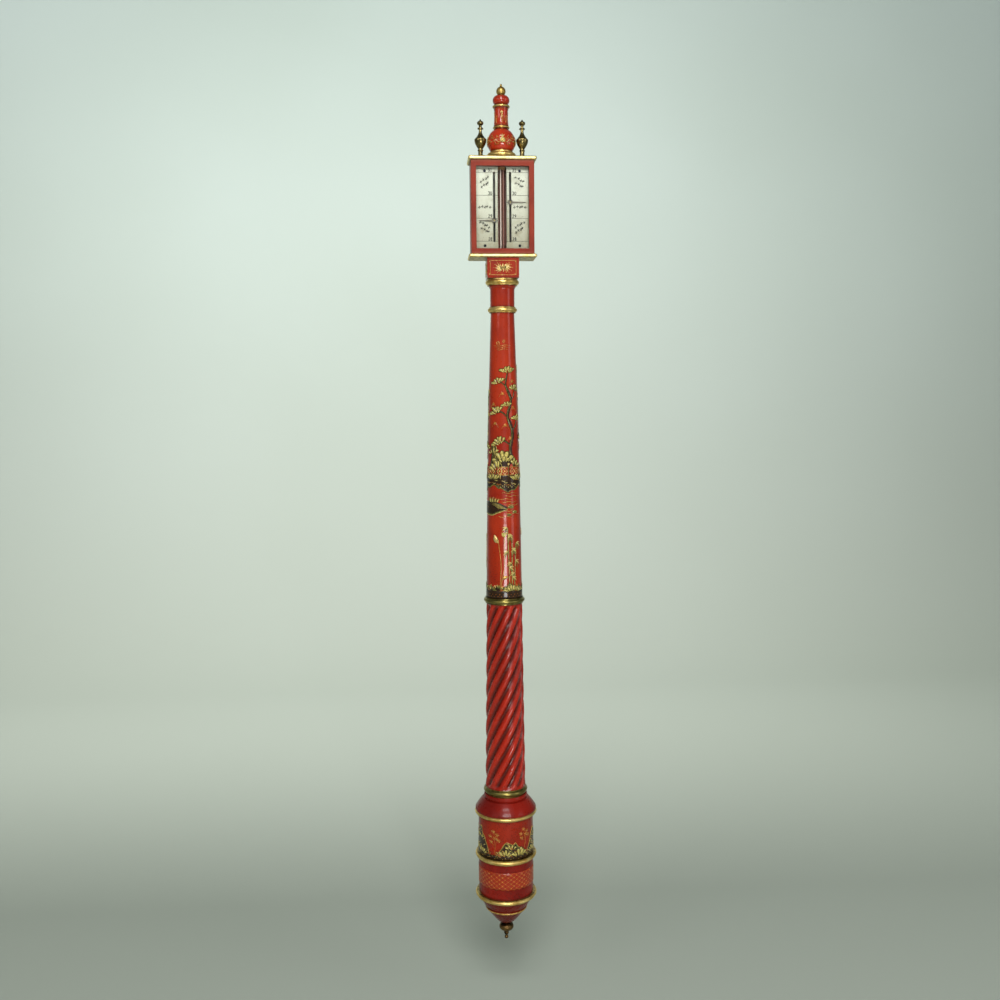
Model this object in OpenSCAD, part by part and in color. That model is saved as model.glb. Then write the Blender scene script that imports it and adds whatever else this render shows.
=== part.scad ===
// Pillar barometer: a glazed hood with two scale plates on a turned and twisted column,
// with a mercury cistern in the drums at the foot. It hangs on a wall by a cranked brass strap.
// The origin is the centre of the hanging hole, on the wall. +Z is up and the front faces -Y.

/* [Hanging strap] */
// Gap between the widest ring and the wall
wall_gap = 1.5; // [0.5:0.5:6]
// Diameter of the hanging hole
hang_hole_d = 8; // [5:0.5:10]
// Width of the strap
strap_w = 20; // [16:1:24]
// Thickness of the strap
strap_t = 2.4; // [1.5:0.1:3]
// Length of the strap on the back of the hood
strap_leg = 44; // [36:1:60]
// Height of the hanging hole above the hood
hole_above_hood = 12.2; // [11:0.1:20]

/* [Hood] */
// Width of the hood between its side faces
hood_w = 71.4; // [66:0.2:90]
// Depth of the hood from front frame to back
hood_d = 33; // [31:0.5:44]
// Height of the hood between the two mouldings
hood_h = 103.2; // [100:0.2:126]
// Thickness of the side walls
hood_wall = 3.6; // [2.4:0.1:3.8]
// Thickness of the back
hood_back = 4; // [3:0.5:6]
// How far the mouldings stand out
moulding_out = 2.9; // [1:0.1:5]
// Thickness of the top moulding
top_moulding_t = 4.4; // [3.4:0.1:6]
// Thickness of the bottom moulding
bottom_moulding_t = 4.2; // [3.4:0.1:6]
// Thickness of the front frame
frame_t = 5; // [4:0.5:7]
// Width of the stiles of the front frame
stile_w = 5.9; // [4:0.1:9]
// Height of the top rail
top_rail = 6.4; // [5:0.2:9]
// Height of the bottom rail
bottom_rail = 5.8; // [5:0.2:9]
// Thickness of the window glass
glass_t = 2; // [1.5:0.1:2.5]
// How far the glass laps behind the frame
glass_lap = 2; // [1.2:0.1:2.2]

/* [Scale] */
// One scale inch
inch = 25.4; // [25.4:0.1:25.4]
// Depth of the 31 inch line below the underside of the top moulding
top_line_drop = 12.2; // [11:0.1:16]
// Gap between the two plates
plate_gap = 9.4; // [8.6:0.2:11]
// How far a plate reaches behind the stile
plate_lap = 0.2; // [0:0.1:1]
// Thickness of a plate
plate_t = 1.2; // [0.8:0.1:1.6]
// Width of the pointer slots
slot_w = 2; // [1.8:0.1:3]
// Distance of a slot from the middle of the tube
slot_x = 9.1; // [8.6:0.1:11]
// Distance of the plate screws from the middle of the tube
plate_screw_x = 19.8; // [15:0.1:20]
// Diameter of a pointer's quatrefoil
pointer_head_d = 6.2; // [4:0.2:8]
// Length of a pointer's hand from the slot outward
hand_length = 18; // [12:0.5:19]
// Length of a pointer's short arm towards the tube
short_arm = 5.4; // [3.5:0.2:6.5]
// Reading of the left pointer in inches
left_reading = 28.9; // [28.2:0.1:30.8]
// Reading of the right pointer in inches
right_reading = 29.7; // [28.2:0.1:30.8]

/* [Pointer screws] */
// Distance of the two lead screws from the middle
screw_x = 23.65; // [22:0.05:25]
// Diameter of the lead screws
lead_screw_d = 4; // [3:0.5:4.5]
// Wall of a carriage round the lead screw
carriage_wall = 1.1; // [0.8:0.1:1.6]
// Height of a carriage
carriage_h = 7; // [5:0.5:9]

/* [Tube and mercury] */
// Outer diameter of the glass tube
tube_d = 7.5; // [6.5:0.1:8]
// Bore of the glass tube
tube_bore = 4; // [2.5:0.1:4.5]
// Height of the mercury over the cistern level, in inches
mercury_reading = 28.9; // [28.2:0.1:30.8]
// Depth of the mercury's level in the cistern below the top of the upper drum
level_drop = 39.9; // [30:0.1:60]

/* [Column] */
// Width of the neck block
block_w = 36; // [32:1:40]
// Depth of the neck block
block_d = 32; // [30:1:34]
// Height of the neck block
block_h = 22.7; // [20:0.1:30]
// Diameter of the ring under the block
neck_ring_d = 38.5; // [36:0.5:42]
// Height of the ring under the block
neck_ring_t = 7.6; // [5:0.1:9]
// Diameter of the upper column
upper_column_d = 28; // [25:0.5:30]
// Height of the upper column
upper_column_h = 24.2; // [22:0.1:40]
// Diameter of the ring on the tapered column
column_ring_d = 33.8; // [31:0.1:38]
// Height of the ring on the tapered column
column_ring_t = 6.5; // [4:0.1:8]
// Diameter of the tapered column at its top
tapered_top_d = 27.2; // [25:0.1:30]
// Diameter of the tapered column at its foot
tapered_foot_d = 41.9; // [38:0.1:44]
// Swell of the tapered column at its middle
entasis = 1; // [0:0.1:2]
// Diameter of the ring over the twist
middle_ring_d = 48.1; // [46:0.1:54]
// Height of the ring over the twist
middle_ring_t = 7; // [5:0.1:9]

/* [Twist] */
// Height of the twisted column
twist_h = 221.8; // [180:0.1:270]
// Number of reeds
reeds = 10; // [8:1:16]
// Height in which a reed goes once round
twist_pitch = 240; // [200:5:400]
// Diameter over the reeds at the top
twist_top_d = 42.7; // [40:0.1:45]
// Diameter over the reeds at the foot
twist_foot_d = 48.3; // [44:0.1:50]
// Depth of the hollows between the reeds
reed_depth = 3.4; // [1:0.1:4.5]

/* [Cistern drums] */
// Diameter of the ring under the twist
twist_ring_d = 52.2; // [50:0.1:58]
// Height of the ring under the twist
twist_ring_t = 8.6; // [6:0.1:10]
// Height of the shoulder
shoulder_h = 20; // [18:0.5:26]
// Height of the plain neck over the shoulder's slope
shoulder_neck_h = 4.8; // [3:0.1:7]
// How far the shoulder's slope swells
shoulder_swell = 0.5; // [0:0.1:3]
// How far the rings stand out from the drums
drum_ring_out = 4.4; // [3:0.1:7]
// Height of the ring over the upper drum
shoulder_ring_t = 4.5; // [4:0.1:7]
// Outer diameter of the drums
drum_d = 65.2; // [64:0.2:70]
// Wall of the drums
drum_wall = 4.5; // [4.2:0.1:5.5]
// Height of the upper drum
upper_drum_h = 48; // [45:0.5:66]
// Height of the ring between the drums
drum_ring_t = 5.4; // [4:0.1:7]
// Height of the lower drum
lower_drum_h = 43.8; // [40:0.1:60]
// Height of the ring under the lower drum
base_ring_t = 5; // [4:0.1:7]
// Height of the bowl under the drums
bowl_h = 35.5; // [33:0.1:40]
// Diameter of the bowl at its foot
bowl_nose_d = 15; // [12:0.5:20]

/* [Cistern] */
// Radial gap between the cistern cup and the drums
cistern_gap = 1.1; // [0.5:0.1:2]
// Wall of the cistern cup
cistern_wall = 7; // [5:0.2:8]
// Height of the cistern cup without its lower spigot
cistern_h = 66; // [58:0.5:68]
// Thickness of the cistern lid
lid_t = 4; // [3:0.5:5]
// Thickness of the leather of the bag
leather_t = 1.2; // [0.8:0.1:1.6]
// Depth of the bag under the cup
bag_depth = 9; // [6:0.5:10]
// Travel of the pressure pad
pad_travel = 8.5; // [4:0.5:9]
// Diameter of the pressure pad
pad_d = 34; // [30:0.5:38]
// Diameter of the threaded part of the portable screw
portable_screw_d = 5; // [4:0.5:6]

/* [Finials] */
// Diameter of the gilt ring under the ball
ball_ring_d = 33; // [30:0.5:38]
// Height of the gilt ring under the ball
ball_ring_h = 7.5; // [5:0.1:9]
// Radius of the ball
ball_r = 16; // [14:0.5:18]
// Height of the ball over its ring
ball_h = 25.3; // [24:0.1:27]
// Diameter of the finial's neck
finial_neck_d = 15.4; // [13:0.1:18]
// Height of the finial's neck
finial_neck_h = 20.6; // [15:0.1:26]
// Height of the thin gilt rings
thin_ring_h = 2.4; // [1.5:0.1:4]
// Height of the bun
bun_h = 11.3; // [10:0.1:13]
// Height of the gilt tip
tip_h = 12.5; // [10:0.1:15]
// Height of a side finial over the hood
urn_h = 43.2; // [36:0.1:52]
// Largest diameter of a side finial
urn_d = 13.8; // [11:0.1:16]
// Diameter of the bulb of the bottom knob
knob_d = 17.6; // [14:0.1:22]

/* [Fits] */
// Radial gap of a glued or screwed joint
joint_fit = 0.1; // [0.05:0.05:0.2]
// Radial gap of a running fit
running_fit = 0.05; // [0.02:0.01:0.1]
// Gap between faces that move past each other
moving_gap = 0.3; // [0.2:0.1:0.5]

/* [Hidden] */
$fn = 72;
tiny = 0.01;

// Heights of the stack, from the hanging hole downwards
drum_ring_d = drum_d + 2 * drum_ring_out;
stand_off = drum_ring_d / 2 + wall_gap;
z_hood = -hole_above_hood;
z_case_top = z_hood - top_moulding_t;
z_case_foot = z_case_top - hood_h;
z_block = z_case_foot - bottom_moulding_t;
z_neck_ring = z_block - block_h;
z_upper = z_neck_ring - neck_ring_t;
z_column_ring = z_upper - upper_column_h;
z_tapered = z_column_ring - column_ring_t;
// The tapered column takes up what is left, so that the mercury in the cistern stands
// 28 inches under the 28 inch line
z_line_31 = z_case_top - top_line_drop;
z_mercury_level = z_line_31 - 3 * inch - 28 * inch;
z_mercury_top = z_mercury_level + mercury_reading * inch;
tapered_h = z_tapered - z_mercury_level - level_drop - shoulder_ring_t - shoulder_h
    - twist_ring_t - twist_h - middle_ring_t;
z_middle_ring = z_tapered - tapered_h;
z_twist = z_middle_ring - middle_ring_t;
z_twist_ring = z_twist - twist_h;
z_shoulder = z_twist_ring - twist_ring_t;
z_shoulder_ring = z_shoulder - shoulder_h;
z_upper_drum = z_shoulder_ring - shoulder_ring_t;
z_drum_ring = z_upper_drum - upper_drum_h;
z_lower_drum = z_drum_ring - drum_ring_t;
z_base_ring = z_lower_drum - lower_drum_h;
z_bowl = z_base_ring - base_ring_t;
z_bowl_foot = z_bowl - bowl_h;
strap_screw_d = 4;

// Hood, measured from the axis of the column
front_y = -hood_d / 2;
back_y = hood_d / 2;
cavity_w = hood_w - 2 * hood_wall;
window_w = hood_w - 2 * stile_w;
rebate_y = front_y + frame_t;
bead_t = 1.8;
top_cork_t = 0.95;
plate_back_y = -7;
plate_front_y = plate_back_y - plate_t;
notch_w = tube_d + 2 * top_cork_t;
lining_y = notch_w / 2 + moving_gap;
block_depth = lining_y - plate_back_y;
slot_over = 1.1;
slot_h = 3 * inch + 2 * slot_over;
top_block_h = top_line_drop - 0.3;
bottom_block_h = hood_h - top_line_drop - 3 * inch - slot_over - 1.4;
plate_x0 = plate_gap / 2;
plate_w = window_w / 2 + plate_lap - plate_x0;
plate_margin = 1.2;
z_plate_top = z_case_top - plate_margin;
z_plate_foot = z_case_foot + plate_margin;
z_screw_top = z_line_31 + 1.7;
z_screw_foot = z_line_31 - 3 * inch - 5;
plate_screw_d = 2;
plate_screw_head_d = 3.2;
plate_screw_in = 6;
window_z = z_case_foot + bottom_rail;
window_h = hood_h - top_rail - bottom_rail;
frame_edge_r = 0.8;

// Pointer mechanism
pointer_t = 0.9;
pointer_y = plate_front_y - 0.5 - pointer_t;
arm_t = 2;
arm_h = 4;
arm_y = plate_back_y + 0.6;
carriage_w = lead_screw_d + 2 * carriage_wall;
carriage_d = carriage_w + 0.2;
stem_side = slot_w - 2 * 0.2;
rivet_d = 1.4;
hand_w = 0.9;
urn_foot = 1.3;
bush_flange = urn_foot - moving_gap;
bush_d = lead_screw_d + 2;
footstep_h = 6;
footstep_floor = 1;

// Tube and column joints
tube_way_d = tube_d + 1.5;
cork_t = 4.5;
cork_h = 8;
tube_top = z_case_top - 2;
tenon = 8;
neck_tenon_d = 18;
upper_tenon_d = 16;
middle_tenon_d = 26;
shoulder_tenon_d = 30;
block_tenon_d = 20;
cove_h = 5;
cove_out = 1.4;

// Drums, cistern and portable screw
drum_bore = drum_d - 2 * drum_wall;
cistern_d = drum_bore - 2 * cistern_gap;
drum_tenon_d = drum_bore + drum_wall + 0.1;
drum_tenon = 6;
ledge_t = 3;
ledge_bore = cistern_d - 3;
z_cup = z_shoulder_ring - lid_t;
z_cup_foot = z_cup - cistern_h;
cup_bore = cistern_d - 2 * cistern_wall;
cup_spigot_d = ledge_bore - 5;
cup_spigot = 5;
z_spigot = z_cup_foot - cup_spigot;
tube_foot = z_cup_foot + 4;
lid_spigot = 4;
bag_rim_d = cup_spigot_d + 2 * joint_fit + 2 * leather_t;
z_bag_foot = z_spigot - bag_depth;
pad_t = 4;
z_pad = z_bag_foot - moving_gap - pad_travel;
pad_nut_d = 10;
pad_nut_seat = 2.8;
pad_nut_h = 13;
z_bowl_floor = z_bowl - 7.5;
bowl_cavity_d = drum_bore - 4.2;
knob_gap = 1;
knob_stem_d = 3.6;
thrust_bush_d = 8;
thrust_collar_t = 2;
guide_d = 3;
guide_x = 12;
z_knob = z_bowl_foot - knob_gap;

module at_axis(x = 0, z = 0) {
    translate([x, -stand_off, z])
    children();
}

// A half profile turned about the column's axis, with the height of its zero at z
module turned(z = 0, x = 0) {
    at_axis(x, z)
    rotate_extrude()
    children();
}

// A cylinder about the axis, from height z down by h
module rod_down(d, z, h, x = 0) {
    at_axis(x, z - h)
    cylinder(d = d, h = h);
}

// A slab of the hood: width w, from y to y plus d, from height z down by h
module slab(w, y, d, z, h) {
    at_axis(0, z - h)
    translate([-w / 2, y, 0])
    cube([w, d, h]);
}

// Half profile of a turned ring: a half-round bead between two thin fillets
module ring_profile(d, bore, t, fillet = 0.14) {
    bead_r = t * (1 - 2 * fillet) / 2;
    translate([bore / 2, 0])
    square([d / 2 - bore / 2 - bead_r * 0.72, t]);
    translate([bore / 2, t / 2 - bead_r])
    square([d / 2 - bore / 2 - bead_r, 2 * bead_r]);
    translate([d / 2 - bead_r, t / 2])
    circle(r = bead_r);
}

module turned_ring(d, bore, t, z) {
    turned(z - t)
    ring_profile(d, bore, t);
}

// A board with a half-round nosing on its front and sides
module nosed_board(t, z) {
    nose = t / 2;
    w = hood_w + 2 * moulding_out;
    front = front_y - moulding_out;
    at_axis(0, z - t) {
        translate([-w / 2 + nose, front + nose, 0])
        cube([w - 2 * nose, back_y - front - nose, t]);
        for (side = [-1, 1])
            translate([side * (w / 2 - nose), back_y, nose])
            rotate([90, 0, 0])
            cylinder(r = nose, h = back_y - front - nose);
        translate([-w / 2 + nose, front + nose, nose])
        rotate([0, 90, 0])
        cylinder(r = nose, h = w - 2 * nose);
        for (side = [-1, 1])
            translate([side * (w / 2 - nose), front + nose, nose])
            sphere(r = nose);
    }
}

module hanging_strap() {
    bend = strap_t * 1.25;
    reach = stand_off - back_y;
    leg_top = z_hood - top_moulding_t - 4;
    head_r = strap_w / 2;
    color("darkgoldenrod")
    difference() {
        intersection() {
            rotate([90, 0, 90])
            translate([0, 0, -strap_w / 2])
            linear_extrude(strap_w)
            strap_side(reach, leg_top, bend);
            rotate([90, 0, 0])
            linear_extrude(2 * stand_off, center = true) {
                circle(r = head_r);
                translate([-head_r, leg_top - strap_leg])
                square([strap_w, strap_leg - leg_top]);
            }
        }
        rotate([90, 0, 0])
        cylinder(d = hang_hole_d, h = 4 * strap_t, center = true);
        for (z = strap_screw_heights())
            translate([0, -reach, z])
            rotate([90, 0, 0])
            cylinder(d = strap_screw_d + 2 * joint_fit, h = 4 * strap_t, center = true);
    }
}

function strap_screw_heights() =
    let (top = z_hood - top_moulding_t - 4)
    [top - 12, top - strap_leg / 2 - 3, top - strap_leg + 6];

// Side view of the cranked strap: wall leg, crank and hood leg, with rounded bends
module strap_side(reach, leg_top, bend) {
    difference() {
        union() {
            translate([-strap_t, leg_top - strap_t])
            square([strap_t, hang_hole_d + strap_w / 2 - leg_top + strap_t]);
            translate([-reach, leg_top - strap_t])
            square([reach, strap_t]);
            translate([-reach, leg_top - strap_leg])
            square([strap_t, strap_leg]);
            translate([-strap_t, leg_top])
            bend_fillet(bend, -1, 1);
            translate([-reach + strap_t, leg_top - strap_t])
            bend_fillet(bend, 1, -1);
        }
        translate([0, leg_top - strap_t])
        bend_fillet(bend, -1, 1);
        translate([-reach, leg_top])
        bend_fillet(bend, 1, -1);
    }
}

// The hollow corner left by a circle in a square, turned into the quadrant given by sx and sy
module bend_fillet(r, sx, sy) {
    scale([sx, sy])
    difference() {
        translate([-tiny, -tiny])
        square([r + tiny, r + tiny]);
        translate([r, r])
        circle(r = r);
    }
}

module strap_screws() {
    color("darkgoldenrod")
    for (z = strap_screw_heights())
        translate([0, -stand_off + back_y, z]) {
            translate([0, strap_t, 0])
            rotate([-90, 0, 0])
            round_head(6.4, 1.8);
            translate([0, strap_t, 0])
            rotate([90, 0, 0])
            cylinder(d = strap_screw_d, h = strap_t + hood_back - 0.5);
        }
}

// A domed and slotted screw head with its flat face at zero
module round_head(d, h) {
    r = (d * d / 4 + h * h) / (2 * h);
    difference() {
        rotate_extrude()
        intersection() {
            translate([0, h - r])
            circle(r = r);
            square([d, h]);
        }
        translate([-d, -0.4, h * 0.5])
        cube([2 * d, 0.8, h]);
    }
}

module top_moulding() {
    color("goldenrod")
    difference() {
        nosed_board(top_moulding_t, z_hood);
        rod_down(finial_rod_d() + 2 * joint_fit, z_hood + 1, top_moulding_t + 2);
        for (side = [-1, 1])
            rod_down(bush_d + 2 * joint_fit, z_hood + 1, top_moulding_t + 2, side * screw_x);
    }
}

function finial_rod_d() = 4;

module hood_case() {
    color("firebrick")
    difference() {
        slab(hood_w, rebate_y, hood_d - frame_t, z_case_top, hood_h);
        slab(cavity_w, rebate_y - 1, hood_d - frame_t - hood_back + 1, z_case_top + 1, hood_h + 2);
        for (z = strap_screw_heights())
            at_axis(0, z)
            translate([0, back_y + 1, 0])
            rotate([90, 0, 0])
            cylinder(d = strap_screw_d + 2 * joint_fit, h = hood_back + 2);
    }
}

module front_frame() {
    glass_w = window_w + 2 * glass_lap;
    color("firebrick")
    difference() {
        slab(hood_w, front_y, frame_t, z_case_top, hood_h);
        slab(window_w, front_y - 1, frame_t + 2, window_z + window_h, window_h);
        slab(glass_w, rebate_y - glass_t - 0.2, frame_t, window_z + window_h + glass_lap,
            window_h + 2 * glass_lap);
        for (side = [-1, 1])
            at_axis(side * hood_w / 2, z_case_foot - 1)
            translate([0, front_y, 0])
            rotate([0, 0, 45])
            cube([frame_edge_r, frame_edge_r, 2 * hood_h + 4], center = true);
    }
}

module window_glass() {
    gap = 0.2;
    w = window_w + 2 * glass_lap - 2 * gap;
    h = window_h + 2 * glass_lap - 2 * gap;
    color("lightblue", 0.3)
    slab(w, rebate_y - glass_t - 0.1, glass_t, window_z + window_h + glass_lap - gap, h);
}

module glazing_bead() {
    w = cavity_w - 2 * joint_fit;
    h = hood_h - 2 * joint_fit;
    color("maroon")
    difference() {
        slab(w, rebate_y, bead_t, z_case_top - joint_fit, h);
        slab(window_w, rebate_y - 1, bead_t + 2, window_z + window_h, window_h);
    }
}

module backing_board() {
    color("saddlebrown")
    slab(cavity_w - 2 * joint_fit, lining_y, back_y - hood_back - lining_y, z_case_top, hood_h);
}

// A wooden block across the hood behind the plates, notched for the tube
module cross_block(z, h) {
    difference() {
        slab(cavity_w - 2 * joint_fit, plate_back_y, block_depth, z, h);
        slab(notch_w, plate_back_y - 1, 1 - plate_back_y + notch_w / 2, z + 1, h + 2);
        for (side = [-1, 1])
            at_axis(side * plate_screw_x, z > z_line_31 ? z_screw_top : z_screw_foot)
            translate([0, plate_back_y - 1, 0])
            rotate([-90, 0, 0])
            cylinder(d = plate_screw_d, h = plate_screw_in + 1 + joint_fit);
    }
}

module top_block() {
    color("saddlebrown")
    difference() {
        cross_block(z_case_top, top_block_h);
        for (side = [-1, 1])
            rod_down(lead_screw_d + 1, z_case_top + 1, top_block_h + 2, side * screw_x);
        rod_down(finial_rod_d() + 2 * joint_fit, z_case_top + 1, 3);
    }
}

module bottom_block() {
    color("saddlebrown")
    difference() {
        cross_block(z_case_foot + bottom_block_h, bottom_block_h);
        for (side = [-1, 1])
            rod_down(bush_d + 2 * joint_fit, z_case_foot + bottom_block_h + 1, footstep_h + 1,
                side * screw_x);
    }
}

module bottom_moulding() {
    color("goldenrod")
    difference() {
        nosed_board(bottom_moulding_t, z_case_foot);
        rod_down(block_tenon_d + 2 * joint_fit, z_case_foot + 1, bottom_moulding_t + 2);
    }
}

// One scale plate, on the right side; the left one is its mirror image
module scale_plate() {
    difference() {
        translate([plate_x0, plate_front_y, z_plate_foot])
        cube([plate_w, plate_t, z_plate_top - z_plate_foot]);
        translate([slot_x, 0, z_line_31 + slot_over - slot_h]) {
            translate([-slot_w / 2, plate_front_y - 1, slot_w / 2])
            cube([slot_w, plate_t + 2, slot_h - slot_w]);
            for (z = [slot_w / 2, slot_h - slot_w / 2])
                translate([0, plate_back_y + 1, z])
                rotate([90, 0, 0])
                cylinder(d = slot_w, h = plate_t + 2);
        }
        for (z = [z_screw_top, z_screw_foot])
            translate([plate_screw_x, plate_front_y, z])
            rotate([-90, 0, 0]) {
                translate([0, 0, -1])
                cylinder(d = plate_screw_d + 0.2, h = plate_t + 2);
                translate([0, 0, -tiny])
                cylinder(d1 = plate_screw_head_d + 0.2, d2 = plate_screw_d + 0.2, h = 0.8);
            }
    }
}

module right_scale_plate() {
    color("gainsboro")
    at_axis()
    scale_plate();
}

module left_scale_plate() {
    color("gainsboro")
    at_axis()
    mirror([1, 0, 0])
    scale_plate();
}

module plate_screws() {
    color("dimgray")
    for (side = [-1, 1], z = [z_screw_top, z_screw_foot])
        at_axis(side * plate_screw_x, z)
        translate([0, plate_front_y, 0])
        rotate([-90, 0, 0])
        difference() {
            union() {
                cylinder(d1 = plate_screw_head_d, d2 = plate_screw_d, h = 0.8);
                cylinder(d = plate_screw_d - 0.1, h = plate_t + plate_screw_in);
            }
            translate([-3, -0.2, -1])
            cube([6, 0.4, 1.3]);
        }
}

function reading_z(reading) = z_line_31 - (31 - reading) * inch;

// Nut, arm and stem that carry a pointer, on the right side at height zero
module carriage() {
    difference() {
        union() {
            translate([screw_x - carriage_w / 2, -carriage_d / 2, -carriage_h / 2])
            cube([carriage_w, carriage_d, carriage_h]);
            translate([slot_x - arm_t, arm_y, -arm_h / 2])
            cube([screw_x - slot_x + arm_t, arm_t, arm_h]);
            translate([screw_x - carriage_w / 2, arm_y, -arm_h / 2])
            cube([carriage_w, -carriage_d / 2 - arm_y, arm_h]);
        }
        translate([screw_x, 0, -carriage_h])
        cylinder(d = lead_screw_d + 2 * running_fit, h = 2 * carriage_h);
    }
    translate([slot_x - stem_side / 2, pointer_y + pointer_t, -stem_side / 2])
    cube([stem_side, arm_y - pointer_y - pointer_t + tiny, stem_side]);
    translate([slot_x, pointer_y - 0.3, 0])
    rotate([-90, 0, 0])
    cylinder(d = rivet_d, h = pointer_t + 0.4);
}

module right_carriage() {
    color("goldenrod")
    at_axis(0, reading_z(right_reading))
    carriage();
}

module left_carriage() {
    color("goldenrod")
    at_axis(0, reading_z(left_reading))
    mirror([1, 0, 0])
    carriage();
}

// Pierced quatrefoil with a long hand outward and a short arm inward, on the right side
module pointer() {
    lobe_r = pointer_head_d / 5;
    translate([slot_x, pointer_y + pointer_t, 0])
    rotate([90, 0, 0])
    linear_extrude(pointer_t)
    difference() {
        union() {
            for (a = [0:90:270])
                rotate([0, 0, a + 45])
                translate([pointer_head_d / 2 - lobe_r, 0])
                circle(r = lobe_r);
            circle(r = pointer_head_d / 3.1);
            polygon([[0, hand_w], [hand_length - 2, hand_w / 2.6], [hand_length, 0],
                [hand_length - 2, -hand_w / 2.6], [0, -hand_w]]);
            translate([-short_arm, -hand_w / 2])
            square([short_arm, hand_w]);
        }
        circle(d = rivet_d + 0.1);
    }
}

module right_pointer() {
    color([0.16, 0.14, 0.13])
    at_axis(0, reading_z(right_reading))
    pointer();
}

module left_pointer() {
    color([0.16, 0.14, 0.13])
    at_axis(0, reading_z(left_reading))
    mirror([1, 0, 0])
    pointer();
}

// Lead screw that hangs in its bush and stands in its footstep
module lead_screw(side) {
    top = z_hood + urn_foot + 5;
    foot = z_case_foot + bottom_block_h - footstep_h + footstep_floor + moving_gap;
    rod_down(lead_screw_d, top, top - foot, side * screw_x);
}

module left_lead_screw() {
    color("slategray")
    lead_screw(-1);
}

module right_lead_screw() {
    color("slategray")
    lead_screw(1);
}

// Turned urn that is the key of a lead screw, with its foot at zero: a ringed stem, a cup
// that swells to a sharp rim, a hollow cone above it, a thin ring, a bulb and a point
module urn_profile() {
    k = urn_h - urn_foot;
    r = urn_d / 2;
    stem = lead_screw_d / 2 + 0.6;
    neck = 1.7;
    square([stem + 0.6, k * 0.05]);
    square([stem, k * 0.24]);
    translate([0, k * 0.165])
    ring_profile(2 * stem + 1.5, 0, 1.4);
    polygon(concat(
        [[0, k * 0.235]],
        [for (i = [0:8]) [stem + 0.3 + (r - stem - 0.3) * sin(i * 90 / 8),
            k * (0.235 + 0.226 * i / 8)]],
        [for (i = [8:-1:0]) [neck + (r - neck) * pow(i / 8, 1.7), k * (0.68 - 0.207 * i / 8)]],
        [[0, k * 0.68]]));
    translate([0, k * 0.67])
    square([neck, k * 0.2]);
    translate([0, k * 0.74])
    ring_profile(6.8, 0, 1.4);
    intersection() {
        translate([0, k * 0.9])
        scale([1, 0.74])
        circle(r = 3.7);
        square([4, k]);
    }
    polygon([[0, k * 0.94], [1.5, k * 0.955], [0.5, k], [0, k]]);
}

module urn_key(side) {
    color([0.45, 0.38, 0.22])
    difference() {
        turned(z_hood + urn_foot, side * screw_x)
        urn_profile();
        rod_down(lead_screw_d + 2 * joint_fit, z_hood + urn_foot + 5 + joint_fit, 8,
            side * screw_x);
    }
}

module left_urn_key() {
    urn_key(-1);
}

module right_urn_key() {
    urn_key(1);
}

// Flanged bushes in the top moulding
module key_bushes() {
    color("goldenrod")
    for (side = [-1, 1])
        difference() {
            union() {
                rod_down(bush_d + 1.8, z_hood + bush_flange, bush_flange, side * screw_x);
                rod_down(bush_d, z_hood + tiny, top_moulding_t, side * screw_x);
            }
            rod_down(lead_screw_d + 2 * running_fit, z_hood + 2, top_moulding_t + 4,
                side * screw_x);
        }
}

// Cups in the bottom block in which the lead screws stand
module screw_footsteps() {
    top = z_case_foot + bottom_block_h;
    color("goldenrod")
    for (side = [-1, 1])
        difference() {
            rod_down(bush_d, top, footstep_h, side * screw_x);
            rod_down(lead_screw_d + 2 * running_fit, top + 1, footstep_h - footstep_floor + 1,
                side * screw_x);
        }
}

// The centre finial is strung on a threaded rod, which screws into the tip
function z_ball_ring() = z_hood;
function z_ball() = z_ball_ring() + ball_ring_h;
function z_ball_top() = z_ball() + ball_h;
function z_finial_neck() = z_ball_top() + thin_ring_h;
function z_neck_top() = z_finial_neck() + finial_neck_h;
function z_bun() = z_neck_top() + thin_ring_h;
function z_tip() = z_bun() + bun_h;

module finial_rod() {
    foot = z_case_top - 2;
    color("slategray")
    rod_down(finial_rod_d(), z_tip() + 5, z_tip() + 5 - foot);
}

module bored_on_rod(z, h) {
    difference() {
        children();
        rod_down(finial_rod_d() + 2 * joint_fit, z + h + 1, h + 2);
    }
}

module ball_ring() {
    color("goldenrod")
    bored_on_rod(z_ball_ring(), ball_ring_h)
    turned(z_ball_ring()) {
        square([ball_ring_d / 2 - 1.6, 1.6]);
        intersection() {
            translate([ball_ring_d / 2 - 3, 3])
            circle(r = 3);
            square([ball_ring_d, ball_ring_h]);
        }
        square([ball_ring_d / 2 - 3, 6]);
        square([ball_ring_d / 2 - 3.6, ball_ring_h]);
    }
}

module finial_ball() {
    centre = ball_h - sqrt(ball_r * ball_r - 36);
    color("firebrick")
    bored_on_rod(z_ball(), ball_h)
    turned(z_ball())
    intersection() {
        union() {
            translate([0, centre])
            circle(r = ball_r);
            translate([0, ball_h - 2.4])
            square([7.2, 2.4]);
        }
        square([ball_r, ball_h]);
    }
}

module thin_ring(d, z) {
    bored_on_rod(z, thin_ring_h)
    turned(z)
    ring_profile(d, 0, thin_ring_h, 0.05);
}

module ball_top_ring() {
    color("goldenrod")
    thin_ring(finial_neck_d + 3.3, z_ball_top());
}

// Slightly waisted neck between two coves
module finial_neck() {
    r = finial_neck_d / 2;
    waist_r = 60;
    color("firebrick")
    bored_on_rod(z_finial_neck(), finial_neck_h)
    turned(z_finial_neck())
    difference() {
        square([r + 0.5, finial_neck_h]);
        translate([r + waist_r - 0.4, finial_neck_h / 2])
        circle(r = waist_r, $fn = 180);
    }
}

module neck_top_ring() {
    color("goldenrod")
    thin_ring(finial_neck_d + 4.2, z_neck_top());
}

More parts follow.
